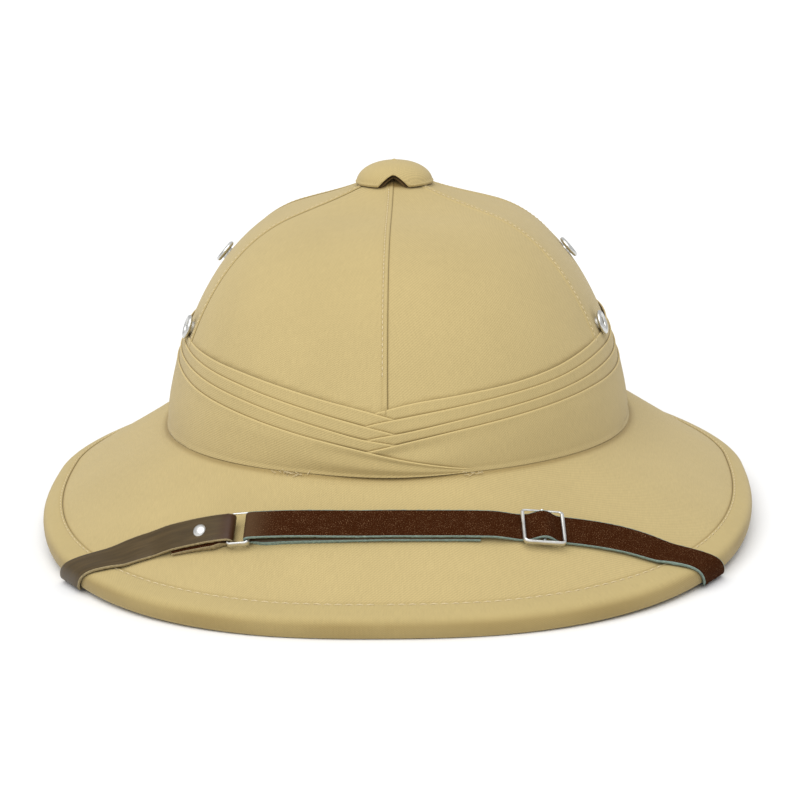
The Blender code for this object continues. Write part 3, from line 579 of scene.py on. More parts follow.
def smooth_leather(name, colour, fold_colour):
    """Dark grain leather with a soft worn sheen, fine pores and streaks rubbed along it."""
    material, shader = new_material(name, colour, 0.42)
    shader.inputs["Specular IOR Level"].default_value = 0.24
    pores = noise(material, "UV", (2400.0, 2400.0, 1.0), 3.0, 0.6)
    wear_and_highlight = noise(material, "UV", (60.0, 640.0, 1.0), 4.0, 0.6)
    dark, middle, light = tones(colour, 0.80, 1.0, 1.4)
    tone = ramp(material, wear_and_highlight, ((0.30, dark), (0.50, middle), (0.72, light)))
    bent = add_node(material, "ShaderNodeAttribute", attribute_name="crease").outputs["Fac"]
    join(material, blend(material, bent, tone, fold_colour), shader.inputs["Base Color"])
    gloss = ramp(material, wear_and_highlight, ((0.3, (0.36,) * 3), (0.7, (0.50,) * 3)))
    join(material, gloss, shader.inputs["Roughness"])
    bump(material, shader, pores, 0.0001, 0.5)
    return material


def rough_leather(name, colour, fleck):
    """The flesh side of leather: dull and dark, with pale fibres raised all over it."""
    material, shader = new_material(name, colour, 0.95)
    shader.inputs["Specular IOR Level"].default_value = 0.03
    nap = noise(material, "UV", (2900.0, 2900.0, 1.0), 2.0, 0.7)
    patches = noise(material, "UV", (300.0, 300.0, 1.0), 2.0)
    factor = combine(material, nap, patches, 0.12)
    dark, middle = tones(colour, 0.70, 1.05)
    tone = ramp(material, factor, ((0.40, dark), (0.53, middle), (0.58, middle), (0.66, fleck)))
    bent = add_node(material, "ShaderNodeAttribute", attribute_name="crease").outputs["Fac"]
    (grey,) = tones(fleck, 0.40)
    join(material, blend(material, bent, tone, grey), shader.inputs["Base Color"])
    bump(material, shader, nap, 0.0003, 0.8)
    return material


def cut_edge(name, colour):
    """The cut edge of a strap, fibrous along its length."""
    material, shader = new_material(name, colour, 0.85)
    fibres = noise(material, "UV", (900.0, 5200.0, 1.0), 3.0, 0.7)
    paint(material, shader, fibres, colour, (0.45, 1.25), (0.32, 0.62))
    bump(material, shader, fibres, 0.0003, 0.7)
    return material


def bright_metal(name, colour):
    """Nickel plate, bright where it is rubbed and duller in patches."""
    material, shader = new_material(name, colour, 0.2, 1.0)
    marks = noise(material, "Object", (320.0, 320.0, 320.0), 2.0)
    gloss = ramp(material, marks, ((0.35, (0.28,) * 3), (0.70, (0.42,) * 3)))
    join(material, gloss, shader.inputs["Roughness"])
    paint(material, shader, marks, colour, (0.92, 1.06))
    return material


def pressed_pith(name, colour):
    """The bare inner face of the moulded shell: pale, dry and finely pitted."""
    material, shader = new_material(name, colour, 0.95)
    coarse = noise(material, "Object", (160.0, 160.0, 160.0), 5.0, 0.6)
    fine = noise(material, "Object", (900.0, 900.0, 900.0), 3.0, 0.6)
    factor = combine(material, coarse, fine, 0.4)
    paint(material, shader, factor, colour, (0.78, 1.12))
    bump(material, shader, factor, 0.0007, 0.5)
    return material


MATERIALS = {}


def make_materials(colours, sizes):
    if MATERIALS:
        return
    MATERIALS.update({
        "twill": woven_cloth("khaki_twill", colours.twill, sizes.weave_pitch),
        "binding": woven_cloth("binding_cloth", colours.binding, sizes.weave_pitch * 0.8),
        "thread": sewing_thread("sewing_thread", colours.thread),
        "grain": smooth_leather("grain_leather", colours.grain_leather, colours.suede),
        "suede": rough_leather("suede_leather", colours.suede, colours.suede_fleck),
        "edge_left": cut_edge("left_cut_edge", colours.left_edge),
        "edge_right": cut_edge("right_cut_edge", colours.right_edge),
        "nickel": bright_metal("nickel", colours.nickel),
        "pith": pressed_pith("pith", colours.pith),
        # Dark cloth that paints the shade under the button's cap and on the post beneath it.
        "shadow_cloth": woven_cloth("cap_shade_cloth", colours.cap_shade_cloth, sizes.weave_pitch),
    })


def material_named(name):
    settings = bpy.context.scene
    make_materials(settings.helmet_colours, settings.helmet_sizes)
    return MATERIALS[name]


# Stitches

def stitch_row(name, points, normals, pitch, length, thickness):
    """Stitches of thread that lie along a line of points, one after each other."""
    points = np.asarray(points, float)
    normals = np.asarray(normals, float)
    run = np.concatenate([[0.0], np.cumsum(np.linalg.norm(np.diff(points, axis=0), axis=1))])
    count = int(run[-1] / pitch)
    clear_selection()
    bpy.ops.mesh.primitive_cylinder_add(vertices=6, radius=1.0, depth=2.0, end_fill_type="TRIFAN",
                                        rotation=(0.0, math.pi / 2, 0.0))
    row = added(name)
    bpy.ops.object.transform_apply(location=True, rotation=True, scale=True)
    edit_all((bpy.ops.mesh.subdivide, {"number_cuts": 1}))
    base = np.array([vertex.co for vertex in row.data.vertices])
    faces = [list(face.vertices) for face in row.data.polygons]
    taper = np.sqrt(np.clip(1.0 - 0.75 * base[:, 0:1] ** 2, 0.0, 1.0))
    base[:, 1:] *= taper
    corners = []
    all_faces = []

    def read(values, at):
        return np.array([np.interp(at, run, values[:, axis]) for axis in range(3)])

    for number in range(count):
        at = (number + 0.5) * pitch
        here = read(points, at)
        out = read(normals, at)
        out /= np.linalg.norm(out)
        along = read(points, at + pitch * 0.3) - read(points, at - pitch * 0.3)
        along -= out * along.dot(out)
        along /= np.linalg.norm(along)
        side = np.cross(out, along)
        thick = thickness / 2
        sunk = out * thick * 0.55 - out * thick * 0.7 * base[:, 0:1] ** 2
        corners.append(here + along * base[:, 0:1] * length / 2 + side * base[:, 1:2] * thick
                       + out * base[:, 2:3] * thick + sunk)
        all_faces += [[index + number * len(base) for index in face] for face in faces]
    mesh = bpy.data.meshes.new(name)
    mesh.from_pydata(np.concatenate(corners).tolist(), [], all_faces)
    row.data = mesh
    take(row)
    edit_all((bpy.ops.mesh.normals_make_consistent, {"inside": False}))
    return finish_piece(row, material_named("thread"), angle=80.0)


# The crown's panels

GORE_STEP = 60.0
GORE_TOP = 0.0066
GORE_ROWS = 96
BAND_LIFT_START = 0.0065
BAND_LIFT = 0.0060
PANEL_NEAR_EDGE = (0.00004, 0.0004, 0.0008, 0.0013, 0.0019, 0.0026)
GORE_NAMES = tuple("crown_gore_%d" % number for number in range(1, 7))


def crown_surface(azimuth, samples=260):
    """Dense profiles of the crown's cloth, from its foot to the small ring under the button.

    The cloth lies under the band at its foot and comes out to it at the band's upper edge.
    """
    foot_reach = crown_foot_reach(azimuth)
    last = np.degrees(np.arccos((GORE_TOP / foot_reach) ** (1.0 / DOME_ROUNDNESS)))
    end = 1.0 - np.sqrt((90.0 - last) / 90.0)
    shares = np.linspace(0.0, 1.0, samples)[:, None] * end
    angle = 90.0 - 90.0 * (1.0 - shares) ** 2
    level = mix(foot_level(azimuth), DOME_TOP, np.sin(np.radians(angle)) ** DOME_FULLNESS)
    beside_band = smooth((level - band_top(azimuth) + BAND_LIFT_START) / BAND_LIFT)
    reach = mix(crown_reach(azimuth, level), dome_reach(azimuth, level), beside_band)
    return reach, level + peak_level(reach)


def band_top(azimuth):
    """Height of the band's upper edge."""
    turn = (azimuth + 180.0) % 360.0 - 180.0
    right = np.where(turn > -6.0, pleat_level("right_1", turn), 0.0)
    left = np.where(turn < 6.0, pleat_level("left_1", turn), 0.0)
    return np.maximum(right, left)


def build_gore(number, sizes):
    """One twill panel, with the lapped seam's raised strip along its far edge."""
    lap = sizes.lap_width
    setback = sizes.stitch_setback
    near = np.array(PANEL_NEAR_EDGE)
    far = np.array([lap + 0.0016, lap + 0.0010, lap + 0.0006, lap + 0.0002, lap - 0.0002, lap * 0.84,
                    setback + 0.00045, setback + 0.0002, setback, setback - 0.0002, setback - 0.00045,
                    0.0008, 0.0005, 0.0003, 0.00015, 0.00003])
    middle = np.linspace(0.0, 1.0, 30)
    sample = GORE_STEP * np.linspace(0.0, 1.0, 31)
    first = GORE_STEP * number
    reach, level = crown_surface(first + sample)
    reach, level, run = evenly(reach, level, GORE_ROWS)
    azimuth = np.empty((GORE_ROWS, len(near) + len(middle) + len(far)))
    offset = np.empty_like(azimuth)
    crease = np.empty_like(azimuth)
    for row in range(GORE_ROWS):
        width = math.radians(GORE_STEP) * reach[row].mean()
        close = min(1.0, width * 0.32 / far[0])
        start = near * close
        end = width - far * close
        across = np.concatenate([start, mix(start[-1], end[0], middle * 0.94 + 0.03), end])
        azimuth[row] = across / width * GORE_STEP
        beyond = (width - across) / close
        strip = smooth((lap + 0.0007 - beyond) / 0.0009)
        edge = 1.0 - smooth(beyond / 0.0005)
        stitched = np.exp(-((beyond - setback) / 0.0005) ** 2)
        tuck = 1.0 - smooth(across / close / 0.0016)
        middle_share = 1.0 - (2.0 * across / width - 1.0) ** 2
        panel = sizes.panel_ridge * (1.0 - middle_share) - sizes.panel_sink * middle_share
        offset[row] = panel * min(1.0, width / 0.04)
        offset[row] += (sizes.lap_height * (strip - 0.85 * edge) - 0.0002 * stitched * strip
                        - 0.00015 * tuck) * close
        # Painted shade in the seam's groove and, more faintly, along its row of stitches.
        groove = np.exp(-(beyond / 0.00022) ** 2) + np.exp(-(across / close / 0.0002) ** 2)
        crease[row] = np.minimum(0.5 * groove + 0.12 * stitched, 1.0)
    take_reach = np.empty_like(azimuth)
    take_level = np.empty_like(azimuth)
    take_run = np.empty_like(azimuth)
    for row in range(GORE_ROWS):
        take_reach[row] = np.interp(azimuth[row], sample, reach[row])
        take_level[row] = np.interp(azimuth[row], sample, level[row])
        take_run[row] = np.interp(azimuth[row], sample, run[row])
    points = place_points(first + azimuth, take_reach, take_level)
    along = np.gradient(points, axis=1)
    upward = np.gradient(points, axis=0)
    out = np.cross(along, upward)
    out /= np.linalg.norm(out, axis=-1, keepdims=True)
    soft = 0.00022 * ripple(azimuth / 7.0, take_run * 60.0, 11 + number)
    points = points + out * (offset + soft)[..., None]
    # Painted shade on the crown just above the band's upper edge and under the button's cap.
    above_band = take_level - band_top(first + azimuth)
    crease = np.maximum(crease, 0.25 * np.exp(-(np.maximum(above_band, 0.0) / 0.0006) ** 2))
    crease = np.maximum(crease, 0.9 * (1.0 - smooth((take_reach - CAP_RADIUS + 0.0026) / 0.0022)))
    weave = np.stack([np.radians(azimuth - GORE_STEP / 2) * take_reach, take_run], axis=-1)
    piece = lay_grid("gore_cloth_%d" % (number + 1), points, weave, False, crease)
    outward(piece)
    apply_modifier(piece, "Thickness", "SOLIDIFY", thickness=PANEL_CLOTH, offset=-1.0)
    finish_piece(piece, material_named("twill"), (GORE_NAMES[number],), 50.0)
    line = np.argmin(np.abs(far - setback)) + len(near) + len(middle)
    keep = slice(20, GORE_ROWS - 4)
    seam = points[keep, line] + out[keep, line] * 0.00005
    stitch_row("seam_stitches_%d" % (number + 1), seam, out[keep, line], sizes.stitch_pitch,
               sizes.stitch_length, sizes.thread_thickness)


# The brim's cloth and its binding

def ring_azimuths(columns):
    return np.linspace(0.0, 360.0, columns + 1)


def build_brim_cloth():
    azimuth = ring_azimuths(RING_COLUMNS)[None, :]
    share = np.unique(np.concatenate([np.linspace(0.0, 0.12, 14), np.linspace(0.12, 0.97, 26),
                                      np.linspace(0.97, 0.998, 6)]))[:, None]
    reach, level = brim_point(azimuth, share)
    seam_reach, seam_level = seam_point(azimuth)
    inner_reach, inner_level = brim_point(azimuth, 0.0)
    run = share * np.hypot(seam_reach - inner_reach, seam_level - inner_level)
    points = place_points(azimuth + 0.0 * share, reach, level)
    angle = np.radians(azimuth + 0.0 * share)
    soft = 0.00028 * ripple(3.0 * np.sin(angle) * 4.0, 3.0 * np.cos(angle) * 4.0 + run * 70.0, 5)
    soft = soft * smooth(share / 0.1) * smooth((1.0 - share) / 0.08)
    points[..., 2] += soft
    weave = np.stack([points[..., 0], points[..., 1]], axis=-1)
    # Painted shade: a dark line on the brim along the band's lower edge, and another along the hem's edge
    # that is stronger at the sides.
    from_band = reach - (dome_reach(azimuth, foot_level(azimuth)) + BAND_PROUD)
    from_hem = (1.0 - share) * (seam_reach - inner_reach)
    beside = 1.0 - 0.8 * end_share(azimuth)
    crease = 0.55 * np.exp(-(from_band / 0.0012) ** 2) + beside * np.exp(-(from_hem / 0.0005) ** 2)
    cloth = lay_grid("brim_cloth", points, weave, True, np.minimum(crease, 1.0))
    outward(cloth)
    apply_modifier(cloth, "Thickness", "SOLIDIFY", thickness=BRIM_CLOTH, offset=-1.0)
    finish_piece(cloth, material_named("twill"), ("brim_cover",), 60.0)


def build_binding(sizes):
    azimuth = ring_azimuths(RING_COLUMNS)
    rows = np.arange(len(LIP_SECTION), dtype=float)
    inset = np.array([row[0] for row in LIP_SECTION])
    height = np.array([row[1] for row in LIP_SECTION])
    fine = np.concatenate([[0.0, 0.02, 0.05, 0.09, 0.14, 0.2, 0.26, 0.32, 0.38, 0.46],
                           np.linspace(0.55, len(LIP_SECTION) - 1.0, 46)])
    inwards = curve_through(rows, inset, fine)[:, None]
    lift = curve_through(rows, height, fine)[:, None]
    hem = rim_reach(azimuth) - rim_reach(azimuth, HEM_SIDE, HEM_END)
    reach = rim_reach(azimuth)[None, :] - hem[None, :] * inwards
    level = rim_floor(azimuth)[None, :] + LIP_HEIGHT * lift
    steps = np.hypot(np.diff(reach, axis=0), np.diff(level, axis=0))
    run = np.vstack([np.zeros(len(azimuth)), np.cumsum(steps, axis=0)])
    seam_level = seam_point(azimuth)[1][None, :]
    edge = np.clip(run / sizes.binding_edge, 0.0, 1.0)
    rise = np.sqrt(1.0 - (1.0 - edge) ** 2)
    fade = 1.0 - smooth((run - 0.0006) / 0.0028)
    lowest = seam_level + 0.00004 - level[0:1]
    level = level + fade * (lowest * (1.0 - rise) + (seam_level + HEM_PROUD - level[0:1]) * rise)
    stitched = np.exp(-((run - sizes.hem_setback) / 0.0005) ** 2)
    angle = np.radians(azimuth)[None, :]
    around = np.cumsum(np.concatenate([[0.0], np.linalg.norm(np.diff(
        place_points(azimuth, reach[20], level[20]), axis=0), axis=1)]))
    puckers = 0.5 + 0.5 * np.sin(around * 2.0 * math.pi / sizes.hem_pitch)
    level = level - stitched * (0.00014 + 0.00012 * puckers[None, :])
    points = place_points(azimuth[None, :] + 0.0 * level, reach, level)
    soft = 0.00022 * ripple(angle * 14.0, run * 300.0, 8) * smooth((run - 0.002) / 0.003)
    points[..., 2] += soft * (lift > 0.3)
    weave = np.stack([np.broadcast_to(around[None, :], run.shape), run], axis=-1)
    # Painted shade on the lip's outer face and underside, uneven around the rim.
    face = smooth((1.10 - lift) / 0.45) * smooth((lift + 0.1) / 0.3)
    painted_shade = face * (0.42 + 0.14 * ripple(angle * 26.0, run * 500.0, 13))
    binding = lay_grid("binding_cloth", points, weave, True, np.clip(painted_shade, 0.0, 1.0))
    outward(binding, (0.0, 0.0, -0.02))
    apply_modifier(binding, "Thickness", "SOLIDIFY", thickness=BRIM_CLOTH, offset=-1.0)
    finish_piece(binding, material_named("binding"), ("edge_binding",), 60.0)
    row = int(np.argmin(np.abs(run[:, 0] - sizes.hem_setback)))
    up = np.tile([0.0, 0.0, 1.0], (len(azimuth), 1))
    stitch_row("hem_stitches", points[row] + up * 0.00006, up, sizes.hem_pitch, sizes.hem_stitch,
               sizes.thread_thickness)


# The pleated band

BAND_BACKING = 0.00025
HIDDEN_PLEAT = 0.05


def pleat_level(name, azimuth):
    line = PLEATS[name]
    return curve_through([row[0] for row in line], [row[1] / 1000.0 for row in line], azimuth)


def band_floor(azimuth):
    """Reach and level of the band's lower edge, just clear of the brim."""
    reach = dome_reach(azimuth, foot_level(azimuth)) + BAND_PROUD
    return brim_level(azimuth, reach) + 0.0006


def pleat_shown(name, azimuth):
    """1 where a fold lies in view, 0 where a layer over it hides it or it has run out."""
    edge = pleat_level(name, azimuth)
    side, number = name.split("_")
    if name == "left_4":
        return smooth((edge - band_floor(azimuth)) / 0.003)
    cover = "left_" + number if side == "right" else "right_%d" % (int(number) + 1)
    return smooth((edge - pleat_level(cover, azimuth) + 0.0001) / 0.0006)


def fold_closeness(order, azimuth, level, reach):
    """How close a place on one layer lies above the folded edge of a layer over it."""
    close = np.zeros(np.shape(level))
    for later, name in enumerate(PLEATS):
        if later > order:
            above = level - pleat_level(name, azimuth)
            close = np.maximum(close, np.exp(-(above / reach) ** 2) * pleat_shown(name, azimuth))
    return close


def build_pleat(order, name, sizes):
    """One folded layer of the band: up behind its edge, over the fold and down in front."""
    line = PLEATS[name]
    number = int(name[-1])
    azimuth = np.unique(np.concatenate([np.arange(line[0][0], line[-1][0], 1.0),
                                        np.arange(-8.0, 24.0, 0.3), [line[-1][0]]]))
    azimuth = azimuth[(azimuth >= line[0][0]) & (azimuth <= line[-1][0])]
    edge = pleat_level(name, azimuth)
    floor = band_floor(azimuth)
    shown = pleat_shown(name, azimuth)
    crossing = np.exp(-((azimuth - 0.5) / 10.0) ** 2)
    if number < 4:
        below = pleat_level(name[:-1] + str(number + 1), azimuth)
        depth = np.maximum(edge - below + 0.003, 0.003)
        depth = np.minimum(depth, edge - floor)
        drops = np.array([0.04, 0.08, 0.13, 0.2, 0.28, 0.36, 0.42, 0.48, 0.54, 0.6, 0.66, 0.72, 0.78, 0.84,
                          0.92, 1.0])
    else:
        depth = np.maximum(edge - floor, 0.0004)
        drops = np.linspace(0.0, 1.0, 42)[1:] ** 1.15
    round_over = np.radians([180.0, 150.0, 120.0, 90.0, 60.0, 30.0, 0.0])
    fold = sizes.pleat_fold
    drop = [0.0035, 0.0018]
    proud = [-1.0, -1.0]
    drop += list(fold - fold * np.sin(round_over))
    proud += list(np.cos(round_over))
    rows = []
    thick = sizes.pleat_rise
    stack = sizes.pleat_stack * order * crossing
    lift = mix(HIDDEN_PLEAT, 1.0, shown)

    def face(down):
        fall = sizes.pleat_rest + (1.0 - sizes.pleat_rest) * np.exp(-down / sizes.pleat_fall)
        return BAND_BACKING + stack * np.exp(-down / 0.03) + thick * lift * fall

    for down, side in zip(drop, proud):
        down = np.minimum(down, depth)
        rows.append((edge - down, face(down) + fold * (side - 1.0), down + 0.0 * edge))
    for share in drops:
        down = fold + (depth - fold) * share
        out = face(down)
        if number < 4:
            out = mix(out, 0.00005, smooth((down - (edge - below)) / 0.0015))
        else:
            slack = smooth(share / 0.3) * smooth((1.05 - share) / 0.5)
            drape = ripple(azimuth / 7.0, share * 9.0 + azimuth / 12.0, 21, 6)
            front = 0.3 + 0.9 * np.exp(-((azimuth + 10.0) / 18.0) ** 2)
            raised = out + sizes.band_drape * drape * slack * front - 0.0003
            out = 0.0003 + 0.5 * (raised + np.hypot(raised, 0.0004))
            out = out + 0.0004 * smooth((share - 0.9) / 0.1)
        rows.append((edge - down, out, down + 0.0 * edge))
    if number == 4:
        under = rows[-1]
        rows.append((under[0] - 0.0002, under[1] - 0.0004, under[2] + 0.0004))
        rows.append((under[0] + 0.0002, under[1] - 0.0009, under[2] + 0.0010))
        rows.append((under[0] + 0.0030, under[1] - 0.0010, under[2] + 0.0030))
    rows.reverse()
    level = np.array([row[0] for row in rows])
    out = np.array([row[1] for row in rows])
    run = np.array([row[2] for row in rows])
    out = out - 0.00012 * fold_closeness(order, azimuth, level, 0.0008)
    # Painted shade just above the folded edge of each layer lying over this one, and a painted highlight
    # along this layer's own folded edge where it shows.
    crease = 0.6 * fold_closeness(order, azimuth, level, 0.0003)
    crease = crease - 0.6 * shown * np.exp(-(run / 0.0005) ** 2)
    # Painted shade over the soft wrinkles below the lowest left fold, uneven along them.
    if name == "left_4":
        dull = np.exp(-((azimuth + 6.0) / 15.0) ** 2) * smooth(run / 0.002)
        crease = crease + dull * np.clip(0.16 + 0.22 * ripple(azimuth / 9.0, run * 900.0, 3), 0.0, 1.0)
    reach = dome_reach(azimuth, np.maximum(level, foot_level(azimuth))) + out
    points = place_points(azimuth[None, :] + 0.0 * level, reach, level)
    around = np.radians(azimuth) * crown_foot_reach(azimuth)
    weave = np.stack([np.broadcast_to(around, run.shape), 0.05 * order - run], axis=-1)
    length = float(np.linalg.norm(np.diff(points[0], axis=0), axis=1).sum())
    return lay_grid("pleat_" + name, points, weave, False, np.clip(crease, -1.0, 1.0)), length


def build_band(sizes):
    layers = []
    for order, name in enumerate(PLEATS):
        layer, length = build_pleat(order, name, sizes)
        outward(layer, (0.0, 0.0, 0.0))
        layers.append(layer)
    join_pieces(layers)
    band = added("pleated_band")
    finish_piece(band, material_named("twill"), ("pugaree",), 70.0)
    length = 2.0 * math.pi * BAND_MEAN_REACH


# Loose ends of thread at the band's foot

FRAY_AZIMUTHS = (-19.0, -16.0, 14.5)


def build_frays(sizes):
    """Short, curling threads, each a grid rolled to a tube."""
    turns = np.random.default_rng(4)
    around = np.linspace(0.0, 2.0 * math.pi, 6)
    along = np.linspace(0.0, 1.0, 7)
    threads_laid = []
    for number in range(sizes.fray_count):
        azimuth = FRAY_AZIMUTHS[number % len(FRAY_AZIMUTHS)] + turns.normal(0.0, 1.1)
        reach = dome_reach(azimuth, foot_level(azimuth)) + BAND_PROUD + turns.uniform(0.0004, 0.0010)
        start = place_points(azimuth, reach, brim_level(azimuth, reach) + turns.uniform(0.0004, 0.0012))
        heading = azimuth + turns.choice([-90.0, 90.0]) + turns.normal(0.0, 25.0)
        way = place_points(heading, 1.0, turns.normal(0.0, 0.25)) * turns.uniform(0.0008, 0.0022)
        curl = turns.normal(0.0, 0.0004, 3)
        line = start + way * along[:, None] + curl * np.sin(along * math.pi)[:, None]
        line[:, 2] = np.maximum(line[:, 2], start[2] - 0.0004)
        side = np.cross(way, [0.0, 0.0, 1.0])
        side /= np.linalg.norm(side)
        thick = sizes.thread_thickness * FRAY_THICKNESS
        tube = line[None] + thick * (np.cos(around)[:, None, None] * side
                                     + np.sin(around)[:, None, None] * np.array([0.0, 0.0, 1.0]))
        threads_laid.append(lay_grid("fray_%d" % number, tube, tube[..., :2], True))
    join_pieces(threads_laid)
    frays = added("frayed_ends")
    take(frays)
    edit_all((bpy.ops.mesh.normals_make_consistent, {"inside": False}))
    finish_piece(frays, material_named("thread"), angle=80.0)


# The ventilator button

def build_cap(sizes):
    """A cloth-covered dome whose lower edge is arched up at the front and at the back."""
    columns = 181
    turn = np.linspace(0.0, 360.0, columns)
    rows = 30
    away = np.abs((turn + 90.0) % 180.0 - 90.0)
    reach_at = CAP_RADIUS * np.sin(np.radians(away))
    arch = np.clip(1.0 - (reach_at / sizes.notch_half_width) ** 1.5, 0.0, 1.0) ** 0.85
    rim_angle = -6.0 + (sizes.notch_angle + 6.0) * arch
    share = np.linspace(0.0, 1.0, rows)[:, None]
    angle = 90.0 - (90.0 - rim_angle[None, :]) * share
    base = cap_level() + CAP_HEM
    cosine = np.cos(np.radians(angle))
    sine = np.sin(np.radians(angle))
    radius = CAP_RADIUS * np.clip(cosine, 0.0, 1.0) ** 0.92
    level = base + CAP_HEIGHT * np.sign(sine) * np.abs(sine) ** 1.08
    level = level + 0.0006 * np.exp(-(radius / 0.0012) ** 2)
    hem = smooth((share - 0.86) / 0.14)
    radius = radius + 0.0003 * np.sin(math.pi * hem) + 0.0002 * hem * (1.0 - arch[None, :])
    points = place_points(turn[None, :] + 0.0 * radius, radius, level)
    weave = np.stack([points[..., 0], points[..., 1]], axis=-1)
    cap = lay_grid("vent_cap_cloth", points[::-1], weave[::-1], True)
    outward(cap, (0.0, 0.0, 0.12))
    apply_modifier(cap, "Thickness", "SOLIDIFY", thickness=CAP_CLOTH, offset=-1.0)
    apply_modifier(cap, "Soft edge", "BEVEL", width=0.00022, segments=2, limit_method="ANGLE",
                   angle_limit=math.radians(50.0))
    finish_piece(cap, material_named("twill"), ("vent_cap",), 50.0)
    # A dark sheet just inside the cap stands in for the shade under it: painted shade.
    inner = (radius - 0.0014)[::-1]
    shading_sheet = lay_grid("vent_cap_shade_sheet", place_points(turn[None, :] + 0.0 * radius, np.maximum(inner, 0.0),
                                                      (level - 0.0016)[::-1]), weave[::-1], True)
    outward(shading_sheet, (0.0, 0.0, 0.12))
    finish_piece(shading_sheet, material_named("shadow_cloth"), (), 60.0)


# The eyelets

def surface_place(azimuth, level):
    """A matrix on the crown's cloth whose Z axis points straight out of it."""
    small = 0.002
    centre = Vector(place_points(azimuth, crown_reach(azimuth, level), level))
    above = Vector(place_points(azimuth, crown_reach(azimuth, level + small), level + small))
    beside = Vector(place_points(azimuth + 1.0, crown_reach(azimuth + 1.0, level), level))
    along = (beside - centre).normalized()
    out = along.cross(above - centre).normalized()
    up = out.cross(along)
    place = Matrix((along, up, out)).transposed().to_4x4()
    place.translation = centre
    return place


def build_eyelet(name):
    """A rolled ring: a flattened torus with a short tube through cloth and shell."""
    azimuth, level, seat = EYELETS[name]
    wire = (EYELET_RADIUS - EYELET_BORE) / 2
    clear_selection()
    bpy.ops.mesh.primitive_torus_add(major_segments=48, minor_segments=16,
                                     major_radius=EYELET_BORE + wire, minor_radius=wire)
    ring = added(name + "_ring")
    edit_all((bpy.ops.transform.resize, {"value": (1.0, 1.0, 0.72)}),
             (bpy.ops.transform.translate, {"value": (0.0, 0.0, seat + wire * 0.5)}))
    clear_selection()
    bpy.ops.mesh.primitive_cylinder_add(vertices=32, radius=EYELET_BORE + 0.0003, depth=0.005,
                                        end_fill_type="NOTHING", location=(0.0, 0.0, seat - 0.0020))
    tube = added(name + "_tube")
    apply_modifier(tube, "Wall", "SOLIDIFY", thickness=0.0003, offset=-1.0)
    join_pieces([ring, tube])
    ring.matrix_world = surface_place(azimuth, level)
    finish_piece(ring, material_named("nickel"), (name,), 50.0)


# The chin strap's route

def skin_point(azimuth, place):
    """Reach and level under the strap: the brim to 1, the lip to 2, then the underside to 3."""
    if place <= 1.0:
        return brim_point(azimuth, place)
    if place <= 2.0:
        row = (place - 1.0) * (len(LIP_SECTION) - 1)
        reach, level = lip_point(azimuth, row)
        if row < 1.0:
            proud = seam_point(azimuth)[1] + HEM_PROUD - lip_point(azimuth, 0.0)[1]
            level = level + proud * (1.0 - row)
        return reach, level
    start = lip_point(azimuth, len(LIP_SECTION) - 1.0)
    end = brim_point(azimuth, 0.0)
    seam = brim_point(azimuth, 1.0)
    slope = math.atan2(end[1] - seam[1], seam[0] - end[0])
    share = place - 2.0
    under = (end[0] - SHELL_DEPTH * math.sin(slope), end[1] - SHELL_DEPTH * math.cos(slope))
    return mix(start[0], under[0], share), mix(start[1], under[1], share)


def skin_frame(azimuth, place):
    here = Vector(place_points(azimuth, *skin_point(azimuth, place)))
    step = 0.06
    before = Vector(place_points(azimuth, *skin_point(azimuth, max(place - step, 0.0))))
    after = Vector(place_points(azimuth, *skin_point(azimuth, min(place + step, 3.0))))
    beside = Vector(place_points(azimuth + 1.0, *skin_point(azimuth + 1.0, place)))
    rim = (beside - here).normalized()
    return here, (after - before).cross(rim).normalized(), rim


def even_spline(values, position):
    index = min(int(position), len(values) - 2)
    share = position - index
    first = values[max(index - 1, 0)]
    start = values[index]
    end = values[index + 1]
    last = values[min(index + 2, len(values) - 1)]
    bend = 2 * first - 5 * start + 4 * end - last
    twist = 3 * (start - end) + last - first
    return 0.5 * (2 * start + (end - first) * share + bend * share ** 2 + twist * share ** 3)


def eased(vectors, passes=12):
    """Places along the strap, drawn smooth as tight leather is."""
    for _ in range(passes):
        inner = [before * 0.25 + here * 0.5 + after * 0.25
                 for before, here, after in zip(vectors, vectors[1:], vectors[2:])]
        vectors = [vectors[0], *inner, vectors[-1]]
    return vectors


def strap_route(steps=10):
    """Stations along the strap from its hidden left end to its hidden right end."""
    spots = []
    for number in range((len(STRAP_ROUTE) - 1) * steps + 1):
        spots.append([even_spline(column, number / steps) for column in zip(*STRAP_ROUTE)])
    spots = [[-spot[0], *spot[1:]] for spot in reversed(spots[1:])] + spots
    middle = len(spots) // 2
    frames = [skin_frame(spot[0], spot[1]) for spot in spots]
    edges = eased([place[0] for place in frames])
    alongs = [(after - before).normalized()
              for before, after in zip([edges[0], *edges[:-1]], [*edges[1:], edges[-1]])]
    rulings = []
    for spot, along, (_, normal, rim) in zip(spots, alongs, frames):
        across = normal.cross(along).normalized()
        rim = rim if rim.dot(across) > 0.0 else -rim
        ruling = across.lerp(rim, spot[3]).normalized() * spot[4]
        lean = math.radians(spot[2])
        rulings.append(ruling * math.cos(lean) + normal * math.sin(lean))
    stations = []
    length = 0.0
    before = edges[0]
    for edge, along, ruling in zip(edges, alongs, eased(rulings)):
        length += (edge - before).length
        before = edge
        stations.append({"length": length, "edge": edge, "along": along, "ruling": ruling,
                         "out": along.cross(ruling).normalized()})
    start = stations[middle]["length"]
    for station in stations:
        station["length"] -= start
    return stations


def route_frame(route, length):
    """The strap's edge and directions at one length along its route."""
    lengths = [station["length"] for station in route]
    index = int(np.clip(np.searchsorted(lengths, length) - 1, 0, len(route) - 2))
    start = route[index]
    end = route[index + 1]
    share = (length - start["length"]) / (end["length"] - start["length"])
    place = {key: start[key].lerp(end[key], share) for key in ("edge", "along", "ruling", "out")}
    place["along"].normalize()
    place["out"].normalize()
    return place


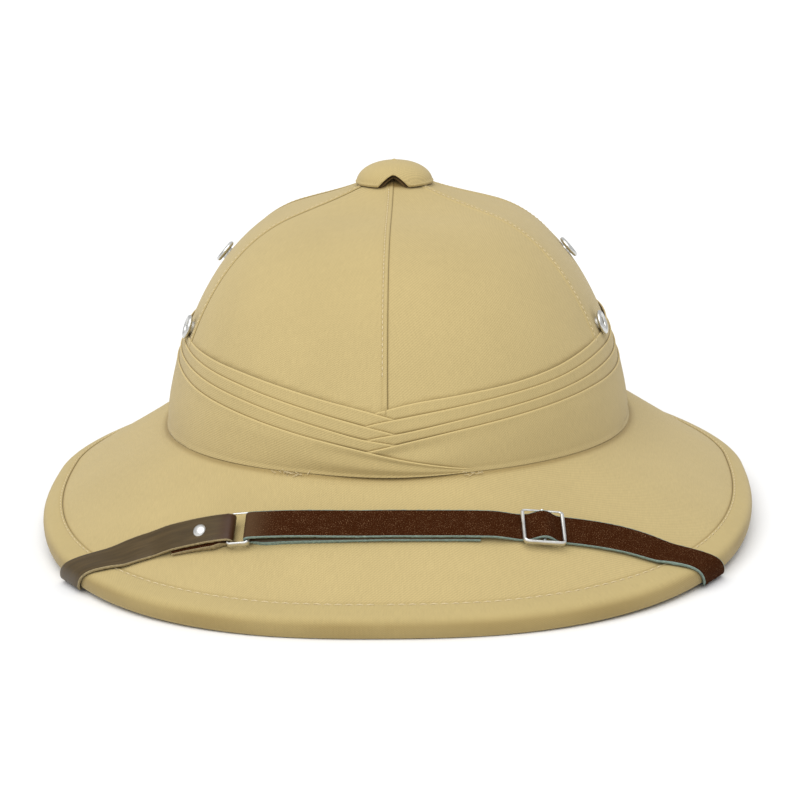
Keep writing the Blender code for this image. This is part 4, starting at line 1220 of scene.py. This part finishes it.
def strap_levels():
    """Heights of the middle of a ply laid on the brim, and of one laid over that."""
    laid = STRAP_SEAT + STRAP_THICKNESS / 2
    return laid, laid + STRAP_THICKNESS + STRAP_GAP


def bar_radius(wire):
    return wire + WIRE_GAP + STRAP_THICKNESS / 2


def fold_round(place, height, radius, towards, steps=12):
    turns = [math.radians(-90.0 + 180.0 * step / steps) for step in range(steps + 1)]
    return [(place + towards * radius * math.cos(turn), height + radius * math.sin(turn))
            for turn in turns]


def straight(start, end, height, last=None, step=0.0022):
    count = max(2, int(abs(end - start) / step))
    last = height if last is None else last
    return [(mix(start, end, number / count), mix(height, last, number / count))
            for number in range(count + 1)]


def softened(path, step=0.0009):
    """A path resampled evenly along its own run, with its corners eased."""
    path = np.array(path)
    run = np.concatenate([[0.0], np.cumsum(np.hypot(*np.diff(path, axis=0).T))])
    keep = np.concatenate([[True], np.diff(run) > 1e-7])
    path = path[keep]
    run = run[keep]
    at = np.linspace(0.0, run[-1], int(run[-1] / step) + 1)
    fine = np.stack([np.interp(at, run, path[:, axis]) for axis in range(2)], axis=1)
    for _ in range(2):
        eased = fine.copy()
        eased[1:-1] = 0.25 * fine[:-2] + 0.5 * fine[1:-1] + 0.25 * fine[2:]
        fine = eased
    return fine, at


def build_strap(name, node, route, path, faces, slip, worn=0.00005):
    """A leather strap with rounded edges that follows a path over the brim.

    Slip holds the length of its lower ply, how far that one lies out to the front, the length
    of the worn fold after it, and over what length it fills the wedge before that fold.
    """
    fine, run = softened(path)
    half = STRAP_THICKNESS / 2
    corner = 0.32 * STRAP_THICKNESS
    belly = np.array([0.0, 0.25, 0.5, 0.75, 1.0])
    section = [(corner + (STRAP_WIDTH - 2 * corner) * share, -half, 0) for share in belly]
    section += [(STRAP_WIDTH - corner * 0.3, -half + corner * 0.3, 1), (STRAP_WIDTH, 0.0, 1),
                (STRAP_WIDTH - corner * 0.3, half - corner * 0.3, 1)]
    section += [(corner + (STRAP_WIDTH - 2 * corner) * share, half, 2) for share in belly[::-1]]
    section += [(corner * 0.3, half - corner * 0.3, 3), (0.0, 0.0, 3),
                (corner * 0.3, -half + corner * 0.3, 3)]
    section.append(section[0])
    wedge = bar_radius(LOOP_WIRE) * FOLD_LEAN - 1.1 * STRAP_THICKNESS
    wide = np.array([row[0] for row in section])
    deep = np.array([row[1] for row in section])
    round_it = np.concatenate([[0.0], np.cumsum(np.hypot(np.diff(wide), np.diff(deep)))])
    points = np.empty((len(section), len(fine), 3))
    rough = np.random.default_rng(len(fine))
    for column, (length, height) in enumerate(fine):
        before = fine[max(column - 1, 0)]
        after = fine[min(column + 1, len(fine) - 1)]
        along, rise = (after - before) / np.linalg.norm(after - before)
        here = route_frame(route, length)
        normal = np.array(here["out"]) * along - np.array(here["along"]) * rise
        middle = np.array(here["edge"]) + np.array(here["out"]) * height
        ruling = np.array(here["ruling"])
        to_bar = slip[0] - run[column]
        open_share = np.clip(1.0 - to_bar / slip[3], 0.0, 1.0) * smooth(to_bar / 0.004)
        thick = 1.0 + wedge / STRAP_THICKNESS * open_share * (to_bar > 0.0)
        depth = (deep + half) * thick - half
        points[:, column] = middle + ruling * wide[:, None] + normal * depth[:, None]
        fray = rough.normal(0.0, worn, len(section)) * (np.array([row[2] for row in section]) % 2 == 1)
        fray[-1] = fray[0]
        under = 1.0 - smooth((run[column] - slip[0] + 0.006) / 0.005)
        points[:, column] += ruling * (fray[:, None] - slip[1] * under)
    weave = np.stack([np.broadcast_to(run[None, :], points.shape[:2]),
                      np.broadcast_to(round_it[:, None], points.shape[:2])], axis=-1)
    bent = 0.8 * np.exp(-((run - slip[0] - 0.0045) / slip[2]) ** 2)
    strap = lay_grid(name, points, weave, True, np.broadcast_to(bent[None, :], points.shape[:2]))
    take(strap)
    bpy.ops.object.mode_set(mode="EDIT")
    bpy.ops.mesh.select_all(action="DESELECT")
    bpy.ops.mesh.select_non_manifold()
    bpy.ops.mesh.edge_face_add()
    bpy.ops.mesh.select_all(action="SELECT")
    bpy.ops.mesh.normals_make_consistent(inside=False)
    bpy.ops.object.mode_set(mode="OBJECT")
    finish_piece(strap, None, (node,), 60.0)
    strap.data.materials.clear()
    for material in faces:
        strap.data.materials.append(material_named(material))
    chart = strap.data.uv_layers["weave"].data
    flat = round_it[4] + 0.00005, round_it[8] - 0.00005, round_it[12] + 0.00005
    for face in strap.data.polygons:
        if len(face.loop_indices) > 4:
            face.material_index = 2
            continue
        around = sum(chart[index].uv[1] for index in face.loop_indices) / len(face.loop_indices)
        if around < flat[0]:
            face.material_index = 0
        elif around < flat[1]:
            face.material_index = 2
        elif around < flat[2]:
            face.material_index = 1
        else:
            face.material_index = 2
    return strap


def right_path(route):
    """From the free end under the strap, round the loop, through the buckle and over the rim."""
    laid, doubled = strap_levels()
    radius = bar_radius(LOOP_WIRE)
    bar = LOOP_PLACE + LOOP_LENGTH / 2
    ease = STRAP_WIDTH * 0.6
    path = straight(FREE_END_RIGHT, bar + ease, laid)
    path += fold_round(bar, laid + radius, radius, -1.0)
    buckle_start = BUCKLE_PLACE - BUCKLE_LENGTH / 2 - BUCKLE_WIRE * 2
    closed = bar + PLIES_OPEN
    path += straight(bar + ease, closed, laid + radius * FOLD_LEAN, doubled)
    path += straight(closed, FREE_END_RIGHT, doubled)
    path += [(mix(FREE_END_RIGHT, buckle_start, 0.4), doubled), (buckle_start, laid)]
    hump = 2 * bar_radius(BUCKLE_WIRE)
    quarter = BUCKLE_LENGTH / 4
    for step in np.linspace(-1.5, 1.5, 25):
        share = 0.08 + 0.92 * (0.5 + 0.5 * math.cos(math.pi * step / 1.5)) ** 0.8
        path.append((BUCKLE_PLACE + quarter * step, laid + hump * share))
    buckle_end = 2 * BUCKLE_PLACE - buckle_start
    return path + straight(buckle_end, route[-1]["length"], laid)


def left_path(route):
    """From the end under the stud, round the loop and over the rim."""
    laid, doubled = strap_levels()
    radius = bar_radius(LOOP_WIRE)
    bar = LOOP_PLACE - LOOP_LENGTH / 2
    ease = STRAP_WIDTH * 0.6
    free_end = bar - FOLD_BACK_LEFT
    path = straight(free_end, bar - ease, laid)
    path += fold_round(bar, laid + radius, radius, 1.0)
    path += straight(bar - ease, free_end, laid + radius * FOLD_LEAN, doubled)
    return path + straight(free_end - ease, route[0]["length"], laid)


def build_straps():
    route = strap_route()
    build_strap("strap_right_leather", "strap_right", route, right_path(route),
                ("grain", "suede", "edge_right"),
                (FREE_END_RIGHT - LOOP_PLACE - LOOP_LENGTH / 2, 0.0007, 0.0060, PLIES_OPEN))
    build_strap("strap_left_leather", "strap_left", route, left_path(route),
                ("grain", "suede", "edge_left"),
                (FOLD_BACK_LEFT, 0.0011, 0.0035, FOLD_BACK_LEFT))


# The strap's metal

def strap_place(route, length, height):
    """A matrix on the strap: X along it, Y across it from its middle, Z out of the brim."""
    here = route_frame(route, length)
    across = here["ruling"].normalized()
    out = here["along"].cross(across).normalized()
    place = Matrix((across.cross(out), across, out)).transposed().to_4x4()
    place.translation = here["edge"] + here["ruling"] * STRAP_WIDTH / 2 + out * height
    return place


def wire_loop(name, length, width, wire, tall):
    """A plane whose corners are rounded and whose outline becomes a closed wire.

    The bar before the strap is a strip that stands on edge, and the one behind it is thin.
    """
    clear_selection()
    bpy.ops.mesh.primitive_plane_add(size=1.0)
    added(name)
    edit_all((bpy.ops.transform.resize, {"value": (length, width, 1.0)}),
             (bpy.ops.mesh.bevel, {"offset": wire * 1.9, "segments": 6, "affect": "VERTICES"}),
             (bpy.ops.mesh.delete, {"type": "ONLY_FACE"}))
    bpy.ops.object.convert(target="CURVE")
    bpy.context.object.data.bevel_depth = wire
    bpy.context.object.data.bevel_resolution = 5
    bpy.ops.object.convert(target="MESH")
    loop = bpy.context.object
    places = np.array([vertex.co for vertex in loop.data.vertices])
    front = smooth((-places[:, 1] - STRAP_WIDTH / 2) / WIRE_SIDE_GAP)
    back = smooth((places[:, 1] - STRAP_WIDTH / 2) / WIRE_SIDE_GAP)
    places[:, 2] *= 1.0 + (tall - 1.0) * front - BACK_BAR_THINNED * back
    bar = STRAP_WIDTH / 2 + WIRE_SIDE_GAP + wire
    places[:, 1] += (bar - places[:, 1]) * BACK_BAR_DRAWN * back - BACK_BAR_TUCK * back
    loop.data.vertices.foreach_set("co", places.ravel())
    return loop


def build_strap_metal(sizes):
    route = strap_route()
    laid, doubled = strap_levels()
    width = STRAP_WIDTH + 2 * (WIRE_SIDE_GAP + LOOP_WIRE)
    loop = wire_loop("loop_wire", LOOP_LENGTH, width, LOOP_WIRE, sizes.loop_strip)
    loop.matrix_world = strap_place(route, LOOP_PLACE, laid + bar_radius(LOOP_WIRE))
    finish_piece(loop, material_named("nickel"), ("strap_loop",), 60.0)

    width = STRAP_WIDTH + 2 * (WIRE_SIDE_GAP + BUCKLE_WIRE)
    slide = wire_loop("slide_buckle", BUCKLE_LENGTH, width, BUCKLE_WIRE, sizes.slide_strip)
    clear_selection()
    bpy.ops.mesh.primitive_cylinder_add(vertices=24, radius=BUCKLE_WIRE, depth=width,
                                        rotation=(math.pi / 2, 0.0, 0.0))
    bar = added("slide_bar")
    join_pieces([slide, bar])
    slide.matrix_world = strap_place(route, BUCKLE_PLACE, laid + bar_radius(BUCKLE_WIRE))
    finish_piece(slide, material_named("nickel"), ("strap_buckle",), 60.0)

    clear_selection()
    bpy.ops.mesh.primitive_uv_sphere_add(segments=32, ring_count=18, radius=1.0)
    stud = added("dome_stud")
    edit_all((bpy.ops.mesh.bisect, {"plane_co": (0.0, 0.0, -0.15), "plane_no": (0.0, 0.0, 1.0),
                                    "use_fill": True, "clear_inner": True}))
    edit_all((bpy.ops.transform.resize, {"value": (STUD_RADIUS, STUD_RADIUS, STUD_DOME * STUD_FULLNESS),
                                         "center_override": (0.0, 0.0, 0.0)}))
    seat = doubled + STRAP_THICKNESS / 2 + 0.0003
    stud.matrix_world = strap_place(route, LOOP_PLACE - LOOP_LENGTH / 2 - STUD_SETBACK, seat)
    finish_piece(stud, material_named("nickel"), ("strap_stud",), 60.0)


# Nodes that keep their own solids

def dress_solids():
    for name, material in (("shell", "pith"), ("vent_post", "shadow_cloth"),
                           ("strap_anchor_left", "nickel"), ("strap_anchor_right", "nickel")):
        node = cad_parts[name]
        node.data.materials.clear()
        node.data.materials.append(material_named(material))


# The camera, the lights and the floor

CAMERA_PLACE = (0.0278, -0.7968, 0.2448)
AIM = (0.0, 0.0, 0.00725)
CAMERA_ROLL = 1.08
CAMERA_LENS = 90.97
CAMERA_SHIFT = 0.0899
TOWARDS_SUN = (-0.16, -0.50, 0.85)


def build_camera():
    back = (Vector(CAMERA_PLACE) - Vector(AIM)).normalized()
    right = Vector((0.0, 0.0, 1.0)).cross(back).normalized()
    up = back.cross(right)
    roll = math.radians(CAMERA_ROLL)
    rolled = right * math.cos(roll) - up * math.sin(roll)
    clear_selection()
    bpy.ops.object.camera_add()
    camera = bpy.context.object
    camera.name = "view_camera"
    camera.data.lens = CAMERA_LENS
    camera.data.shift_y = CAMERA_SHIFT
    place = Matrix((rolled, back.cross(rolled), back)).transposed().to_4x4()
    place.translation = Vector(CAMERA_PLACE)
    camera.matrix_world = place
    bpy.context.scene.camera = camera


def build_stage(look):
    """A pale floor, an even white sky and one broad, soft light from the upper left."""
    clear_selection()
    bpy.ops.mesh.primitive_plane_add(size=FLOOR_SIZE, location=(0.0, 0.0, -FLOOR_CLEARANCE))
    floor = added("floor")
    material, shader = new_material("pale_floor", (look.floor_tone,) * 3, 0.95)
    shader.inputs["Specular IOR Level"].default_value = 0.0
    floor.data.materials.append(material)
    world = bpy.context.scene.world or bpy.data.worlds.new("studio")
    bpy.context.scene.world = world
    world.use_nodes = True
    background = world.node_tree.nodes["Background"]
    background.inputs["Color"].default_value = (1.0, 1.0, 1.0, 1.0)
    background.inputs["Strength"].default_value = look.sky_strength
    clear_selection()
    bpy.ops.object.light_add(type="SUN", location=Vector(TOWARDS_SUN))
    light = bpy.context.object
    light.name = "soft_key"
    light.data.energy = look.key_strength
    light.data.angle = math.radians(look.key_spread)
    light.rotation_euler = Vector(TOWARDS_SUN).to_track_quat("Z", "Y").to_euler()
    bpy.context.scene.view_settings.view_transform = "Standard"


# What a user would change

def length_property(name, description, default):
    return FloatProperty(name=name, description=description, default=default, subtype="DISTANCE",
                         unit="LENGTH", precision=5)


def colour_property(name, description, default):
    return FloatVectorProperty(name=name, description=description, default=default, subtype="COLOR",
                               min=0.0, max=1.0)


class HelmetSizes(bpy.types.PropertyGroup):
    weave_pitch: length_property("Weave pitch", "Distance between ribs of the twill", 0.00075)
    lap_width: length_property("Lap width", "Width of the lapped seams of the crown", 0.0026)
    lap_height: length_property("Lap height", "Height of the lapped seams", 0.0004)
    panel_ridge: length_property("Panel ridge", "How far the crown's seams stand proud", 0.0005)
    panel_sink: length_property("Panel sink", "How far a panel's middle is drawn in", 0.0004)
    stitch_setback: length_property("Seam stitch setback",
                                    "From a seam of the crown to its row of stitches", 0.0017)
    hem_setback: length_property("Hem stitch setback", "From the binding's edge to its row of stitches",
                                 0.0009)
    stitch_pitch: length_property("Stitch pitch", "From one stitch to the next", 0.0022)
    stitch_length: length_property("Stitch length", "Length of one stitch", 0.0017)
    hem_pitch: length_property("Hem stitch pitch", "The same along the rim's hem", 0.0036)
    hem_stitch: length_property("Hem stitch length", "Length of a stitch of the hem", 0.0026)
    thread_thickness: length_property("Thread", "Thickness of the sewing thread", 0.00048)
    binding_edge: length_property("Binding edge", "Roundness of the binding's edge", 0.0005)
    pleat_fold: length_property("Pleat fold", "Radius of the pleats' folded edges", 0.0003)
    pleat_rise: length_property("Pleat rise", "How far a pleat's edge stands proud", 0.00075)
    pleat_rest: FloatProperty(name="Pleat rest", description="Share of its rise that a pleat keeps",
                              default=0.16, min=0.0, max=1.0, subtype="FACTOR")
    pleat_fall: length_property("Pleat fall", "How soon a pleat sinks below its edge", 0.0024)
    pleat_stack: length_property("Pleat stack", "Added by each layer at the crossing", 0.00028)
    band_drape: length_property("Band drape", "Depth of the band's soft wrinkles", 0.0013)
    fray_count: IntProperty(name="Frayed ends", description="Loose threads at the band's foot",
                            default=26, min=3)
    loop_strip: FloatProperty(name="Loop strip", description="Height of the loop's side bars to width",
                              default=2.3, min=1.0)
    slide_strip: FloatProperty(name="Slide strip", description="The same for the slide buckle",
                               default=1.7, min=1.0)
    notch_half_width: length_property("Notch half width", "Half of the button's arch", 0.0058)
    notch_angle: FloatProperty(name="Notch height", description="How far up the button its arch goes",
                               default=32.0)


class HelmetLight(bpy.types.PropertyGroup):
    floor_tone: FloatProperty(name="Floor tone", description="Paleness of the floor", default=0.82,
                              min=0.0, max=1.0, subtype="FACTOR")
    sky_strength: FloatProperty(name="Sky", description="Strength of the even white sky", default=0.66,
                                min=0.0)
    key_strength: FloatProperty(name="Key light", description="Strength of the broad light",
                                default=2.55, min=0.0)
    key_spread: FloatProperty(name="Key spread", description="Width of the broad light in degrees",
                              default=70.0, min=0.0, max=180.0)


class HelmetColours(bpy.types.PropertyGroup):
    twill: colour_property("Twill", "Cloth of the crown, band and brim", (0.438, 0.341, 0.153))
    binding: colour_property("Binding", "Cloth of the rolled edge", (0.425, 0.331, 0.144))
    thread: colour_property("Thread", "Sewing thread", (0.59, 0.485, 0.285))
    # A dark tone for the painted shade under the button's cap.
    cap_shade_cloth: colour_property("Cap lining", "Inside of the button", (0.10, 0.06, 0.02))
    grain_leather: colour_property("Grain leather", "Smooth side of the strap", (0.058, 0.037, 0.013))
    suede: colour_property("Suede", "Rough side of the strap", (0.038, 0.0105, 0.0025))
    suede_fleck: colour_property("Suede fleck", "Pale fibres on the suede", (0.21, 0.12, 0.06))
    left_edge: colour_property("Left edge", "Cut edge of the strap's left half", (0.30, 0.235, 0.12))
    right_edge: colour_property("Right edge", "Cut edge of its right half", (0.19, 0.26, 0.22))
    nickel: colour_property("Nickel", "Eyelets, stud, loop and slide", (0.66, 0.66, 0.64))
    pith: colour_property("Pith", "Bare inside of the shell", (0.58, 0.49, 0.33))


# Operators

class HELMET_OT_stage(bpy.types.Operator):
    """Add the camera, the soft lights and the pale floor"""
    bl_idname = "helmet.stage"
    bl_label = "Stage"

    def execute(self, context):
        build_camera()
        build_stage(context.scene.helmet_light)
        return {"FINISHED"}


class HELMET_OT_solids(bpy.types.Operator):
    """Give the solids that stay in view their finish"""
    bl_idname = "helmet.solids"
    bl_label = "Shell and rivets"

    def execute(self, context):
        dress_solids()
        return {"FINISHED"}


class HELMET_OT_crown(bpy.types.Operator):
    """Sew the crown from its six twill panels"""
    bl_idname = "helmet.crown"
    bl_label = "Crown panels"

    def execute(self, context):
        for number in range(len(GORE_NAMES)):
            build_gore(number, context.scene.helmet_sizes)
        return {"FINISHED"}


class HELMET_OT_brim(bpy.types.Operator):
    """Cover the brim and roll the binding over its edge"""
    bl_idname = "helmet.brim"
    bl_label = "Brim and binding"

    def execute(self, context):
        build_brim_cloth()
        build_binding(context.scene.helmet_sizes)
        return {"FINISHED"}


class HELMET_OT_band(bpy.types.Operator):
    """Fold the pleated band round the foot of the crown"""
    bl_idname = "helmet.band"
    bl_label = "Pleated band"

    def execute(self, context):
        build_band(context.scene.helmet_sizes)
        build_frays(context.scene.helmet_sizes)
        return {"FINISHED"}


class HELMET_OT_cap(bpy.types.Operator):
    """Add the cloth-covered ventilator button"""
    bl_idname = "helmet.cap"
    bl_label = "Ventilator button"

    def execute(self, context):
        build_cap(context.scene.helmet_sizes)
        return {"FINISHED"}


class HELMET_OT_eyelets(bpy.types.Operator):
    """Set the four metal eyelets"""
    bl_idname = "helmet.eyelets"
    bl_label = "Eyelets"

    def execute(self, context):
        for name in EYELETS:
            build_eyelet(name)
        return {"FINISHED"}


class HELMET_OT_straps(bpy.types.Operator):
    """Lay the two halves of the leather chin strap over the brim"""
    bl_idname = "helmet.straps"
    bl_label = "Chin strap"

    def execute(self, context):
        build_straps()
        return {"FINISHED"}


class HELMET_OT_strap_metal(bpy.types.Operator):
    """Add the strap's loop, slide buckle and stud"""
    bl_idname = "helmet.strap_metal"
    bl_label = "Strap metal"

    def execute(self, context):
        build_strap_metal(context.scene.helmet_sizes)
        return {"FINISHED"}


OPERATORS = (HELMET_OT_stage, HELMET_OT_solids, HELMET_OT_crown, HELMET_OT_brim, HELMET_OT_band,
             HELMET_OT_cap, HELMET_OT_eyelets, HELMET_OT_straps, HELMET_OT_strap_metal)


class HELMET_PT_panel(bpy.types.Panel):
    """Builds each piece of the helmet"""
    bl_idname = "HELMET_PT_panel"
    bl_label = "Pith helmet"
    bl_space_type = "VIEW_3D"
    bl_region_type = "UI"
    bl_category = "Helmet"

    def draw(self, context):
        for operator in OPERATORS:
            self.layout.operator(operator.bl_idname)
        scene = context.scene
        for group in (scene.helmet_sizes, scene.helmet_colours, scene.helmet_light):
            for name in group.bl_rna.properties.keys():
                if name not in ("rna_type", "name"):
                    self.layout.prop(group, name)


CLASSES = (HelmetSizes, HelmetColours, HelmetLight, *OPERATORS, HELMET_PT_panel)


def register():
    for item in CLASSES:
        bpy.utils.register_class(item)
    bpy.types.Scene.helmet_sizes = PointerProperty(type=HelmetSizes)
    bpy.types.Scene.helmet_colours = PointerProperty(type=HelmetColours)
    bpy.types.Scene.helmet_light = PointerProperty(type=HelmetLight)


def unregister():
    del bpy.types.Scene.helmet_light
    del bpy.types.Scene.helmet_colours
    del bpy.types.Scene.helmet_sizes
    for item in reversed(CLASSES):
        bpy.utils.unregister_class(item)


def main():
    register()
    for operator in OPERATORS:
        group, name = operator.bl_idname.split(".")
        getattr(getattr(bpy.ops, group), name)()


if __name__ == "__main__":
    main()
